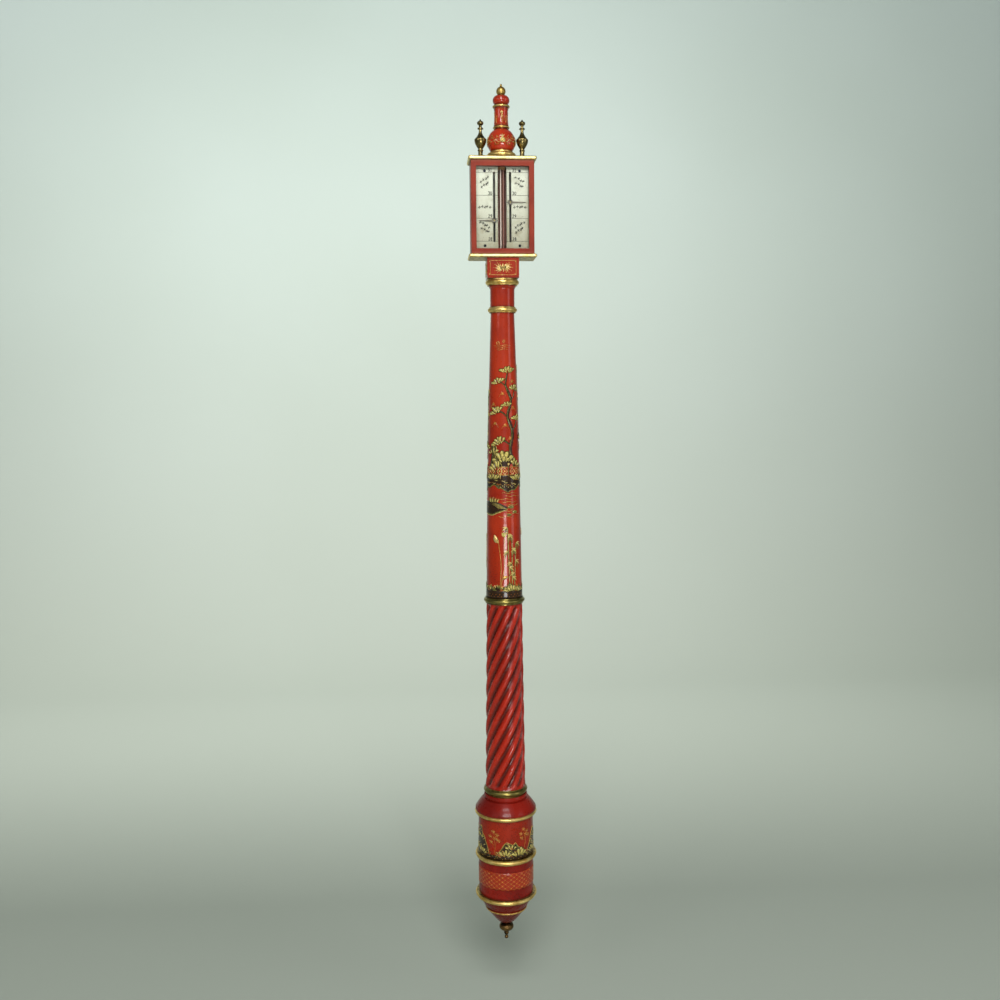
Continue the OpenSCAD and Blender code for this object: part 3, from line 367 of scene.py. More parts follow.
@dataclass(frozen=True)
class Gilding(Finish):
    """Water gilding on turned or planed wood: gold leaf over red clay.

    It gives a warm metal sheen that shows the clay on rubbed crests and turns browner at the ends.
    """

    pale: str = "#F2DC9C"
    clay: str = "#7E3A20"
    dirt: str = "#4E3A1C"
    rub: float = 0.5

    def pattern(self, on: Recipe) -> dict:
        """Sheen, clay where the leaf is worn, and a browner colour at the ends.

        Args:
            on: the piece's recipe.

        Returns:
            Shader inputs by name.
        """
        cloud = {"Vector": on.place, "Scale": per_mm(9), "Detail": 5.0, "Roughness": 0.6}
        tone = on.add("TexNoise", cloud)
        sheen = on.add("MapRange", {"Value": tone} | limits(0.36, 0.64))
        fresh, bare = 0.68 - 0.12 * self.rub, 0.72 - 0.1 * self.rub
        flakes = on.patches(2.2, fresh, bare, Detail=6, Roughness=0.72)
        worn = on.add("Math", {0: on.rubbed(0.9), 1: 0.35}, operation="ADD", use_clamp=True)
        worn = on.add("Math", {0: worn, 1: flakes}, operation="MULTIPLY")
        # Browner within a millimetre of the top and bottom, in blotches
        end_mask = on.add("TexNoise", {"Vector": on.place, "Scale": per_mm(3), "Detail": 4.0})
        end_mask = on.add("MapRange", {"Value": end_mask} | limits(0.3, 0.7, 0.35, 1))
        end_mask = on.add("Math", {0: end_mask, 1: on.ends(1.0)}, operation="MULTIPLY")
        pits = on.add("TexNoise", {"Vector": on.place, "Scale": per_mm(1.4), "Detail": 4.0})
        gloss = {"Value": tone} | limits(0.3, 0.7, self.roughness - 0.07, self.roughness + 0.1)
        layers = ((sheen, self.pale), (worn, self.clay), (end_mask, self.dirt))
        return {
            "Base Color": on.coats(self.colour, *layers),
            "Metallic": on.add("Math", {0: 0.9, 1: worn}, operation="SUBTRACT", use_clamp=True),
            "Roughness": on.add("MapRange", gloss),
        } | on.bump(pits, 0.3, 0.2)


@dataclass(frozen=True)
class Brass(Finish):
    """Turned brass under old lacquer.

    It gives a metal that is bright on its crests, brown-green in its hollows, with the fine
    rings that a turning tool leaves.
    """

    patina: str = "#2E2A17"
    age: float = 0.5

    def pattern(self, on: Recipe) -> dict:
        """Patina in clouds and hollows, and turning marks.

        Args:
            on: the piece's recipe.

        Returns:
            Shader inputs by name.
        """
        clean, dark = 0.72 - 0.4 * self.age, 0.9 - 0.35 * self.age
        cloud = on.patches(4.5, clean, dark, Detail=5, Roughness=0.62)
        crest = on.add("Math", {0: on.rubbed(1.6), 1: 0.75}, operation="MULTIPLY")
        keep = on.add("Math", {0: 1.0, 1: crest}, operation="SUBTRACT")
        cloud = on.add("Math", {0: cloud, 1: keep}, operation="MULTIPLY")
        hollow = on.add("Math", {0: on.ends(0.8), 1: 0.8 * self.age}, operation="MULTIPLY")
        # Turning marks, drawn coarser than the real ones so that they show
        drawn = on.add("Mapping", {"Vector": on.place, "Scale": (0.02, 0.02, 1.0)})
        marks = on.add("TexNoise", {"Vector": drawn, "Scale": per_mm(0.3), "Detail": 2.0})
        gloss = {"Value": cloud} | limits(0, 1, self.roughness, self.roughness + 0.2)
        return {
            "Base Color": on.coats(self.colour, (cloud, self.patina), (hollow, self.patina)),
            "Metallic": 1.0,
            "Roughness": on.add("MapRange", gloss),
        } | on.bump(marks, 0.15, 0.1)


@dataclass(frozen=True)
class Metal(Finish):
    """Steel, blued or bright, and mercury: a plain metal with faint cloudy colour."""

    other: str = "#222222"
    grain: float = 1.5
    marks: float = 0.15

    def pattern(self, on: Recipe) -> dict:
        """Cloudy colour and fine marks, the same all over because such parts wear evenly.

        Args:
            on: the piece's recipe.

        Returns:
            Shader inputs by name.
        """
        cloud = on.patches(self.grain * 3, 0.35, 0.7, Detail=3)
        fine = {"Vector": on.place, "Scale": per_mm(self.grain * 0.4), "Detail": 2.0}
        colour = on.coats(self.colour, (cloud, self.other))
        relief = on.bump(on.add("TexNoise", fine), self.marks, 0.05)
        return {"Base Color": colour, "Metallic": 1.0} | relief


@dataclass(frozen=True)
class SilveredPlate(Finish):
    """Brass rubbed with silvering paste: a matt, slightly green white that tarnishes inward."""

    tarnish: str = "#9C987C"
    spot: str = "#6E6A58"

    def pattern(self, on: Recipe) -> dict:
        """Tarnish from the edges, painted shade darker towards the foot, spots and upright rubbing lines.

        Args:
            on: the piece's recipe.

        Returns:
            Shader inputs by name.
        """
        cloud = on.patches(11, 0.46, 0.72, 0.5, Detail=5, Roughness=0.6)
        edge = on.add("Math", {0: on.rubbed(5.0), 1: 0.4}, operation="MULTIPLY")
        # Painted shade: the plate grows darker towards its lower end, most near the foot
        height = on.add("SeparateXYZ", {"Vector": on.place}, out="Z")
        painted_shade_below = on.add("MapRange", {"Value": height} | limits(on.extent.high[2], on.extent.low[2]))
        painted_shade_below = on.add("Math", {0: painted_shade_below, 1: 2.0}, operation="POWER")
        dark = on.add("Math", {0: cloud, 1: edge}, operation="ADD", use_clamp=True)
        dark = on.add("Math", {0: dark, 1: painted_shade_below}, operation="ADD", use_clamp=True)
        spots = on.patches(1.1, 0.64, 0.74, 0.6, Detail=3)
        # The paste is rubbed on along the plate, which leaves fine upright lines
        drawn = on.add("Mapping", {"Vector": on.place, "Scale": (1.0, 1.0, 0.02)})
        rub = on.add("TexNoise", {"Vector": drawn, "Scale": per_mm(0.35), "Detail": 2.0})
        colour = on.coats(self.colour, (dark, self.tarnish), (spots, self.spot))
        return {"Base Color": colour, "Metallic": 0.25} | on.bump(rub, 0.12, 0.05)


@dataclass(frozen=True)
class Timber(Finish):
    """Planed or turned wood with its grain along the piece, stained, waxed or bare."""

    late: str = "#2A140C"
    size_black: str = "#1D1410"
    ring_width: float = 1.6
    stretch: float = 0.06
    stripe: float = 0.0

    def pattern(self, on: Recipe) -> dict:
        """Year rings and pores along the piece, and a stained stripe if the wood has one.

        Args:
            on: the piece's recipe.

        Returns:
            Shader inputs by name.
        """
        along = on.add("Mapping", {"Vector": on.place, "Scale": (1.0, 1.0, self.stretch)})
        rings = on.patches(self.ring_width * 2, 0.36, 0.66, Vector=along, Detail=3, Distortion=0.6)
        pores = on.patches(0.5, 0.58, 0.7, 0.7, Vector=along, Detail=3)
        colour = on.coats(self.colour, (rings, self.late), (pores, self.late))
        if self.stripe:
            # Stained along the middle only; the wood is black with size where the plates cover it
            x = on.add("SeparateXYZ", {"Vector": on.place}, out="X")
            open_part = on.add("Math", {0: x, 1: 0.0, 2: self.stripe * MM}, operation="COMPARE")
            colour = on.coats(self.size_black, (open_part, colour))
        return {"Base Color": colour} | on.bump(pores, 0.25, 0.1, invert=True)


@dataclass(frozen=True)
class Cork(Finish):
    """Cut cork: pale cells with dark bark specks."""

    cell: str = "#B98A5A"
    speck: str = "#4A2D18"

    def pattern(self, on: Recipe) -> dict:
        """Cells, and specks of bark over them.

        Args:
            on: the piece's recipe.

        Returns:
            Shader inputs by name.
        """
        cells = on.add("TexVoronoi", {"Vector": on.place, "Scale": per_mm(0.8)})
        specks = on.patches(1.8, 0.58, 0.66, Detail=4)
        colour = on.coats(self.colour, (cells, self.cell), (specks, self.speck))
        return {"Base Color": colour} | on.bump(cells, 0.5, 0.2)


@dataclass(frozen=True)
class Leather(Finish):
    """Soft kid: fine grain pebbles and pale stretch marks."""

    fold: str = "#8C6B47"

    def pattern(self, on: Recipe) -> dict:
        """Uneven colour and raised pebbles.

        Args:
            on: the piece's recipe.

        Returns:
            Shader inputs by name.
        """
        cells = {"Vector": on.place, "Scale": per_mm(0.45)}
        pebbles = on.add("TexVoronoi", cells, feature="SMOOTH_F1")
        tone = on.add("TexNoise", {"Vector": on.place, "Scale": per_mm(7), "Detail": 4.0})
        colour = on.coats(self.colour, (tone, self.fold))
        return {"Base Color": colour, "Sheen Weight": 0.2} | on.bump(pebbles, 0.35, 0.1, invert=True)


@dataclass(frozen=True)
class Thread(Finish):
    """Waxed linen thread: two plies laid round each other."""

    hollow: str = "#8E7A55"

    def pattern(self, on: Recipe) -> dict:
        """Slanting bands, one for each ply.

        Args:
            on: the piece's recipe.

        Returns:
            Shader inputs by name.
        """
        bands = {"Vector": on.place, "Scale": per_mm(0.6) / 6.28, "Distortion": 2.0}
        ply = on.add("TexWave", bands, bands_direction="DIAGONAL")
        return {"Base Color": on.coats(self.hollow, (ply, self.colour))} | on.bump(ply, 0.5, 0.15)


@dataclass(frozen=True)
class Glass(Finish):
    """Drawn tube or old pane: clear, faintly green, with a slow wave in its surface.

    Both are thin walls close to what is behind them, so they are see-through by their alpha and
    let the light reach the board and the mercury. A drawn tube has two pale lines along its wall,
    a painted highlight left of its middle and a painted pink reflection right of it.
    """

    alpha: float = 1.0
    shine: float = 0.5
    cord: str = ""
    bright_cord: str = "#FFF3E4"
    thick: float = 0.85

    def pattern(self, on: Recipe) -> dict:
        """A wave and a haze, and on a tube a painted highlight and a painted reflection.

        Args:
            on: the piece's recipe.

        Returns:
            Shader inputs by name.
        """
        wave = on.add("TexNoise", {"Vector": on.place, "Scale": per_mm(14), "Detail": 1.0})
        haze = on.add("TexNoise", {"Vector": on.place, "Scale": per_mm(20), "Detail": 5.0})
        haze = {"Value": haze} | limits(0.4, 0.8, self.roughness, self.roughness + 0.06)
        glass = {"IOR": 1.47, "Alpha": self.alpha, "Roughness": on.add("MapRange", haze)}
        glass |= {"Specular IOR Level": self.shine} | on.bump(wave, 0.2, 0.4)
        # Painted highlight and painted pink reflection: two lines along the tube, beside its middle
        if self.cord:
            x, wall = on.add("SeparateXYZ", {"Vector": on.place}, out="X"), on.extent.radius
            bright = on.add("Math", {0: x, 1: -0.37 * wall, 2: 0.13 * wall}, operation="COMPARE")
            pink = on.add("Math", {0: x, 1: 0.5 * wall, 2: 0.1 * wall}, operation="COMPARE")
            both = on.add("Math", {0: pink, 1: bright}, operation="ADD", use_clamp=True)
            # The glass is made less clear along the two painted lines
            cloudy = {"Value": both} | limits(0, 1, self.alpha, self.thick)
            glass["Alpha"] = on.add("MapRange", cloudy)
            glass["Base Color"] = on.coats(self.colour, (pink, self.cord), (bright, self.bright_cord))
        return glass


@dataclass(frozen=True)
class Paint(Finish):
    """Raised japanner's paint or engraver's wax, in two tones under the same varnish as its ground."""

    second: str = "#000000"
    metal: float = 0.0

    def pattern(self, on: Recipe) -> dict:
        """Two tones in patches the size of a brush.

        Args:
            on: the piece's recipe.

        Returns:
            Shader inputs by name.
        """
        tone = on.patches(2.4, 0.42, 0.7, Detail=5, Roughness=0.65)
        colour = on.coats(self.colour, (tone, self.second))
        varnish = {"Coat Weight": 0.45, "Coat Roughness": 0.08, "Specular IOR Level": 0.14}
        return {"Base Color": colour, "Metallic": self.metal} | varnish | on.bump(tone, 0.3, 0.1)


@dataclass(frozen=True)
class Paper(Finish):
    """Backdrop paper: matt, in two close tones, with painted shade that darkens it towards the floor."""

    second: str = "#C3D0C8"
    trodden: str = "#B2B8AB"
    floor: float = -1.022
    wall: float = 1.1

    def pattern(self, on: Recipe) -> dict:
        """Patches of the two tones over a metre wide, and painted shade that grows towards the floor.

        Args:
            on: the paper's recipe.

        Returns:
            Shader inputs by name.
        """
        tone = on.patches(1000 / 0.7, 0.3, 0.7, Detail=2)
        height = on.add("SeparateXYZ", {"Vector": on.place}, out="Z")
        # Painted shade: the lower the paper lies, the darker, from the wall's upper part down to the floor
        old = on.add("MapRange", {"Value": height} | limits(self.wall, self.floor, 0, 0.85))
        colour = on.coats(self.colour, (tone, self.second), (old, self.trodden))
        return {"Base Color": colour, "Specular IOR Level": 0.1}


class Pot(Enum):
    """The paints and the wax of the decoration."""

    GOLD = Paint("gold_paint", "#D6AC5A", 0.36, "#8C6226", 0.65)
    PALE_GOLD = Paint("pale_gold_paint", "#E2C67C", 0.4, "#B08A42", 0.35)
    CREAM = Paint("cream_paint", "#CDBB68", 0.42, "#8F823A")
    OLIVE = Paint("olive_paint", "#746F2F", 0.42, "#3D3C1B")
    INK = Paint("ink_paint", "#33200F", 0.36, "#190F08")
    UMBER = Paint("umber_paint", "#45220F", 0.35, "#2A130A")
    RUSSET = Paint("russet_paint", "#9C2A10", 0.36, "#7A1F0C")
    FADED = Paint("faded_gold", "#C2702C", 0.4, "#8E3F1A", 0.3)
    WAX = Paint("engraving_wax", "#151512", 0.5, "#2A2923")


PAINTS = {pot: pot.value.material("decoration") for pot in Pot}
VERMILION = Japan("vermilion_japan", "#A62E10", 0.32, "#8A1F0A", "#4A1A0C")
SCARLET = Japan("scarlet_japan", "#B4300F", 0.28, "#98210A", "#431509", coat=0.95)
CARVED_RED = Japan("carved_japan", "#A8230F", 0.24, "#8C1A0A", "#360D06", hollows="hollow")
# The carved twist's hollows take painted shade, by a depth that the carving stores on its points
DRUM_RED = Japan("drum_japan", "#98240A", 0.3, "#7C1907", "#3A1208", coat=0.3)
BOWL_RED = Japan("bowl_japan", "#74180A", 0.26, "#5C0F06", "#2C0D06", coat=0.06)
BLOCK_RED = Japan("block_japan", "#9C2A10", 0.3, "#82200C", "#38120A")
CRIMSON = Japan("crimson_japan", "#861A0E", 0.3, "#6C120B", "#341009", coat=0.14)
# Pale pink ground: the frame's rubbed arrises show wear and also a painted highlight
FRAME_RED = Japan("frame_japan", "#8B2F1B", 0.45, "#762313", "#9C5C49", 0.75, 0.12)
CASE_RED = Japan("case_japan", "#94301F", 0.45, "#7E2415", "#521F12", 0.8, 0.12, bare_back=True)
LEAF = Gilding("water_gilding", "#CFA751", 0.34, "#EDD388")
DULL_LEAF = Gilding("dull_gilding", "#A9883F", 0.4, "#CDB06A")
MOULDING_LEAF = Gilding("moulding_gilding", "#E8C96F", 0.42, "#FFEFB2", rub=0.7)
OLD_BRASS = Brass("old_brass", "#8A7D44", 0.3, "#34341B", 0.6)
DARK_BRASS = Brass("dark_brass", "#8F7E4F", 0.24, "#2C2716", 0.75)
KNOB_BRASS = Brass("handled_brass", "#7A5F38", 0.32, "#21160C", 0.95)
BRIGHT_BRASS = Brass("bright_brass", "#C9A658", 0.28, "#6B5528", 0.35)
BLUED = Metal("blued_steel", "#23262E", 0.3, "#14120F")
GREY_STEEL = Metal("grey_steel", "#6E6A5F", 0.34, "#3A362F")
STEEL = Metal("bright_steel", "#9A9A98", 0.3, "#6B6A66")
QUICKSILVER = Metal("mercury", "#D3D5D8", 0.06, "#C6C8CC", grain=8.0, marks=0.0)
SILVERED = SilveredPlate("silvered_brass", "#CFD3BF", 0.42)
MAROON = Timber("maroon_stained_pine", "#8C4B3C", 0.5, "#552A22", stripe=6.5)
BEAD_RED = Timber("bead_stained_pine", "#6E3328", 0.5, "#3F1D17")
OAK = Timber("planed_oak", "#7E5533", 0.6, "#4A2E1A", ring_width=2.4)
BOX = Timber("turned_boxwood", "#C9A468", 0.42, "#A67F48", ring_width=1.2)
CORK = Cork("cut_cork", "#A87B4C", 0.85)
KID = Leather("kid_leather", "#C0A076", 0.65)
LINEN = Thread("linen_thread", "#D8CBA4", 0.7)
TUBE_GLASS = Glass("drawn_glass", "#8A5A4A", 0.07, 0.34, 0.8, "#BF9184")
PANE_GLASS = Glass("pane_glass", "#39413D", 0.03, 0.05)
PAPER = Paper("studio_paper", "#CFDCD7", 0.9)


def dress(finish: Finish, *nodes: str, form: Form = Form.TURNED) -> None:
    """Gives CAD nodes their finish.

    Args:
        finish: the finish.
        nodes: the nodes' names.
        form: how the pieces were made.
    """
    for node in nodes:
        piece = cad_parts[node]
        material = finish.material(node, Extent.of(node, form))
        if not piece.material_slots:
            piece.data.materials.append(material)
        for slot in piece.material_slots:
            slot.material = material
        log.info("%s: %s", node, finish.name)


def new_mesh(
    name: str, points: np.ndarray, faces: np.ndarray, smooth_angle: float = 35
) -> bpy.types.Object:
    """Makes a mesh object from arrays.

    Args:
        name: the object's name.
        points: one row of x, y and z in metres for each vertex.
        faces: one row of four vertex numbers for each face.
        smooth_angle: edges sharper than this, in degrees, stay sharp.

    Returns:
        The linked object, at the origin.
    """
    mesh = bpy.data.meshes.new(name)
    mesh.from_pydata(points, [], faces)
    mesh.validate()
    piece = bpy.data.objects.new(name, mesh)
    bpy.context.scene.collection.objects.link(piece)
    mesh.shade_smooth()
    mesh.set_sharp_from_angle(angle=math.radians(smooth_angle))
    return piece


def grid_faces(
    rows: int, columns: int, closed_rows: bool = False, closed_columns: bool = False
) -> np.ndarray:
    """Faces of a grid of points numbered row by row.

    Args:
        rows: number of rows.
        columns: number of columns.
        closed_rows: the last row joins the first.
        closed_columns: the last column joins the first.

    Returns:
        One row of four vertex numbers for each cell.
    """
    i = np.arange(rows if closed_rows else rows - 1)[:, None]
    j = np.arange(columns if closed_columns else columns - 1)[None, :]
    below, right = (i + 1) % rows, (j + 1) % columns
    corners = (i * columns + j, i * columns + right, below * columns + right, below * columns + j)
    cells = np.broadcast_shapes(i.shape, j.shape)
    return np.stack([np.broadcast_to(corner, cells).ravel() for corner in corners], axis=1)


def weld(piece: bpy.types.Object, outward: bool = True) -> None:
    """Merges points that coincide and turns the faces outward.

    Args:
        piece: the mesh object.
        outward: also recalculate the normals, for a closed surface.
    """
    work = bmesh.new()
    work.from_mesh(piece.data)
    bmesh.ops.remove_doubles(work, verts=work.verts, dist=2e-6)
    bmesh.ops.dissolve_degenerate(work, edges=work.edges, dist=1e-7)
    if outward:
        bmesh.ops.recalc_face_normals(work, faces=work.faces)
    work.to_mesh(piece.data)
    work.free()


def read_rows(
    items: bpy.types.bpy_prop_collection, name: str, each: int = 3, kind: type = float
) -> np.ndarray:
    """One value of all elements of a mesh.

    Args:
        items: the mesh's vertices, loops or polygons.
        name: name of the value.
        each: how many numbers an element has.
        kind: type of the numbers.

    Returns:
        The numbers in rows of three.
    """
    values = np.zeros(len(items) * each, kind)
    items.foreach_get(name, values)
    return values.reshape(-1, 3)


def about(axis: Sequence[float], radius: np.ndarray, angle: np.ndarray, height: np.ndarray) -> np.ndarray:
    """Points at a radius and an angle about an upright axis.

    Args:
        axis: x and y of the axis, in metres.
        radius: distances from it.
        angle: angles in radians.
        height: heights.

    Returns:
        One row of x, y and z in metres for each point.
    """
    x = axis[0] + radius * np.cos(angle) * MM
    y = axis[1] + radius * np.sin(angle) * MM
    return np.stack([x, y, height * MM], axis=-1).reshape(-1, 3)


def turned_mesh(
    name: str, profile: Points, axis: Sequence[float], thread: tuple[float, ...]
) -> bpy.types.Object:
    """A solid turned from a half profile that starts and ends on the axis, with a thread.

    The radius of the threaded stretch is lowered by half the depth times one minus the cosine of
    the height over the pitch, less or plus the angle, so that the crest climbs as a helix.

    Args:
        name: the object's name.
        profile: radius and height pairs.
        axis: x and y of the axis in metres.
        thread: lowest and highest height, pitch, depth and hand of the thread.

    Returns:
        The linked object.
    """
    low, high, pitch, depth, hand = thread
    rows = np.array(profile, float)
    angle = np.linspace(0, FULL_TURN, 32, endpoint=False)[None, :]
    radius, height = rows[:, :1] + 0 * angle, rows[:, 1:] + 0 * angle
    fade = np.clip((height - low) / pitch, 0, 1) * np.clip((high - height) / pitch, 0, 1)
    wave = 0.5 - 0.5 * np.cos(FULL_TURN * height / pitch - hand * angle)
    radius = np.where(radius > depth, radius - depth * fade * wave, radius)
    faces = grid_faces(*radius.shape, closed_columns=True)
    piece = new_mesh(name, about(axis, radius, angle, height), faces)
    weld(piece)
    return piece


def rounded(profile: Points, step: float) -> Points:
    """The same outline with extra points.

    Args:
        profile: the corners.
        step: greatest length of a stretch.

    Returns:
        The corners and the points between them.
    """
    corners = np.array(profile, float)
    pieces = [corners[:1]]
    for a, b in zip(corners[:-1], corners[1:]):
        count = max(1, int(np.ceil(np.linalg.norm(b - a) / step)))
        pieces.append(a + (b - a) * (np.arange(1, count + 1) / count)[:, None])
    return np.vstack(pieces)


def adopt(piece: bpy.types.Object, finish: Finish, body: str, node: str) -> None:
    """Dresses a new turned piece, sets it on its body and lets it stand for its CAD node.

    Args:
        piece: the mesh object.
        finish: its finish.
        body: the body it rides on.
        node: the CAD node that it stands for.
    """
    corners = read_rows(piece.data.vertices, "co")
    extent = Extent(tuple(corners.min(0)), tuple(corners.max(0)))
    piece.data.materials.append(finish.material(piece.name, extent))
    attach(piece, body)
    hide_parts(node)
    log.info("%s: stands for %s", piece.name, node)


class Surface:
    """A surface that can be painted on, unrolled to u to the right and v upward."""

    def place(self, u: np.ndarray, v: np.ndarray, lift: float) -> np.ndarray:
        """Points in metres, in rows of x, y and z, that stand lift millimetres off the surface."""
        raise NotImplementedError


@dataclass
class FlatSurface(Surface):
    """A plane face, with its unrolled origin and its directions to the right and outward."""

    origin: Corner
    right: Corner = (1, 0, 0)
    out: Corner = (0, -1, 0)

    def place(self, u: np.ndarray, v: np.ndarray, lift: float) -> np.ndarray:
        """The origin plus u to the right, v upward and the lift outward."""
        parts = (np.outer(u, self.right), np.outer(v, (0, 0, 1)), lift * np.array(self.out))
        return np.array(self.origin) + sum(parts) * MM


@dataclass
class TurnedSurface(Surface):
    """The outside of a turned CAD node between two heights.

    Its radius at any height is interpolated between the points of the node's outward faces, so
    the paint follows the turning. The angle is minus a quarter turn plus u over the radius.
    """

    node: str
    low: float
    high: float

    def __post_init__(self) -> None:
        """Reads the profile from the node's mesh: the greatest radius at each height."""
        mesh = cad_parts[self.node].data
        points = read_rows(mesh.vertices, "co")
        normals = read_rows(mesh.polygons, "normal")
        corners = read_rows(mesh.loops, "vertex_index", 1, np.int32)
        self.axis = np.array(Extent.of(self.node).middle[:2])
        middles = points[corners].mean(axis=1)[:, :2] - self.axis
        outward = (middles * normals[:, :2]).sum(axis=1) > 0.1 * np.linalg.norm(middles, axis=1)
        used = points[np.unique(corners[outward])]
        height = used[:, 2] / MM
        radius = np.linalg.norm(used[:, :2] - self.axis, axis=1) / MM
        inside = (height > self.low - 0.05) & (height < self.high + 0.05)
        self.levels, group = np.unique(np.round(height[inside], 2), return_inverse=True)
        self.widest = np.zeros(len(self.levels))
        np.maximum.at(self.widest, group.ravel(), radius[inside])

    def radius(self, v: np.ndarray | float) -> np.ndarray:
        """Radius at height v."""
        return np.interp(v, self.levels, self.widest)

    def place(self, u: np.ndarray, v: np.ndarray, lift: float) -> np.ndarray:
        """The point at angle u over the radius, at height v, outward by the lift."""
        radius = self.radius(v)
        return about(self.axis, radius + lift, -math.pi / 2 + u / radius, v)


def smooth_line(points: Points, count: int) -> np.ndarray:
    """A smooth curve through points, by the Catmull-Rom formula with its ends carried on.

    Args:
        points: the points in order.
        count: number of points on the curve.

    Returns:
        One row of u and v for each point of the curve.
    """
    given = np.array(points, float)
    padded = np.vstack([2 * given[0] - given[1], given, 2 * given[-1] - given[-2]])
    way = np.linspace(0, len(given) - 1, count)
    i = np.minimum(way.astype(int), len(given) - 2)
    t = (way - i)[:, None]
    a, b, c, d = padded[i], padded[i + 1], padded[i + 2], padded[i + 3]
    bend = (2 * a - 5 * b + 4 * c - d) * t**2 + (3 * b - a - 3 * c + d) * t**3
    return 0.5 * (2 * b + (c - a) * t + bend)


@dataclass
class Brush:
    """Paints grids of raised colour on one surface, one mesh for each paint at the end.

    Places are u to the right and v upward, angles are degrees anticlockwise from the right, and
    paint of a higher layer lies on that of a lower one.
    """

    surface: Surface
    seed: int
    slot: str = RED
    lift: float = 0.05
    layer_step: float = 0.045
    top_layers: int = 4
    grids: dict[Pot, list[tuple[np.ndarray, np.ndarray, int]]] = field(default_factory=dict)

    def __post_init__(self) -> None:
        """Seeds the small irregularities of the hand."""
        self.rng = np.random.default_rng(self.seed)

    def wobble(self, low: float, high: float) -> float:
        """A number between low and high, as the hand happens to fall."""
        return float(self.rng.uniform(low, high))

    def cover(self, pot: Pot, u: np.ndarray, v: np.ndarray, layer: int) -> None:
        """Keeps a grid, turned so that its cells run anticlockwise.

        Args:
            pot: the paint.
            u, v: places and heights of the grid's points.
            layer: the layer.
        """
        du, dv = u[1:, 1:] - u[:-1, :-1], v[1:, 1:] - v[:-1, :-1]
        area = np.sum(du * (v[1:, :-1] - v[:-1, 1:]) - (u[1:, :-1] - u[:-1, 1:]) * dv)
        if area > 0:
            u, v = u[::-1], v[::-1]
        self.grids.setdefault(pot, []).append((u, v, layer))

    def stroke(
        self, pot: Pot, points: Points, width: float, layer: int = 1, taper: float = 0.5, steps: int = 0
    ) -> None:
        """A ribbon along a smooth curve, whose width follows a sine to its ends.

        Args:
            pot: the paint.
            points: where the brush goes.
            width: greatest width.
            layer: the layer.
            taper: power of the sine; zero keeps the width even.
            steps: points along the curve, or zero for a count by its length.
        """
        length = float(np.sum(np.linalg.norm(np.diff(np.array(points, float), axis=0), axis=1)))
        steps = steps or int(np.clip(length / 1.2, 5, 60))
        line = smooth_line(points, steps)
        along = np.gradient(line, axis=0)
        along /= np.maximum(np.linalg.norm(along, axis=1, keepdims=True), 1e-9)
        half = width / 2 * np.sin(np.pi * np.linspace(0.04, 0.96, steps)) ** taper
        side = np.linspace(-1, 1, 2 if width < 2.5 else 2 + int(width / 2))[None, :]
        u = line[:, :1] - along[:, 1:] * half[:, None] * side
        v = line[:, 1:] + along[:, :1] * half[:, None] * side
        self.cover(pot, u, v, layer)

    def leaf(
        self, pot: Pot, u: float, v: float, angle: float, length: float, width: float,
        layer: int = 1, bend: float = 0.1, swell: float = 0.8,
    ) -> None:
        """A leaf from its stalk: a sine outline round a bowed rib.

        Args:
            pot: the paint.
            u, v: the stalk's place and height.
            angle: direction.
            length, width: size where it is longest and widest.
            layer: the layer.
            bend: bow of the rib as a share of the length.
            swell: power of the way along the rib; above one the leaf is widest near its tip.
        """
        way = np.linspace(0, 1, 7 if swell < 1 else 9)[:, None]
        half = width / 2 * np.sin(np.pi * way**swell) ** (0.9 if swell < 1 else 0.6)
        side = np.linspace(-1, 1, 3)[None, :]
        x = way * length + 0 * side
        y = bend * length * np.sin(np.pi * way) + half * side
        c, s = math.cos(math.radians(angle)), math.sin(math.radians(angle))
        self.cover(pot, u + x * c - y * s, v + x * s + y * c, layer)

    def dab(
        self, pot: Pot, u: float, v: float, width: float, height: float,
        layer: int = 1, lobes: int = 0, depth: float = 0.0, turn: float = 0.0,
    ) -> None:
        """A round dab, worked out by mapping a square grid to a disc, with an edge of lobes.

        Args:
            pot: the paint.
            u, v: place and height of its centre.
            width, height: full size.
            layer: the layer.
            lobes: number of lobes on the edge.
            depth: depth of the lobes as a share of the radius.
            turn: turn of the lobes.
        """
        count = 5 if max(width, height) < 3 else 9
        a, b = np.meshgrid(np.linspace(-1, 1, count), np.linspace(-1, 1, count), indexing="ij")
        x, y = a * np.sqrt(1 - b**2 / 2), b * np.sqrt(1 - a**2 / 2)
        swell = 1 + depth * np.hypot(x, y) * np.cos(lobes * np.arctan2(y, x) + math.radians(turn))
        self.cover(pot, u + x * swell * width / 2, v + y * swell * height / 2, layer)

    def area(self, pot: Pot, lower: Points, upper: Points, layer: int = 0, columns: int = 0) -> None:
        """The area between two smooth lines that run from left to right.

        Args:
            pot: the paint.
            lower, upper: points of the lower and the upper edge.
            layer: the layer.
            columns: number of columns, or zero for a count by width.
        """
        width = abs(lower[-1][0] - lower[0][0]) + abs(upper[-1][0] - upper[0][0])
        columns = columns or int(np.clip(width / 2.2, 5, 160))
        foot, top = smooth_line(lower, columns), smooth_line(upper, columns)
        rows = 2 + int(np.max(np.abs(top - foot)) / 2.5)
        share = np.linspace(0, 1, rows)[:, None, None]
        between = foot[None] * (1 - share) + top[None] * share
        self.cover(pot, between[..., 0], between[..., 1], layer)

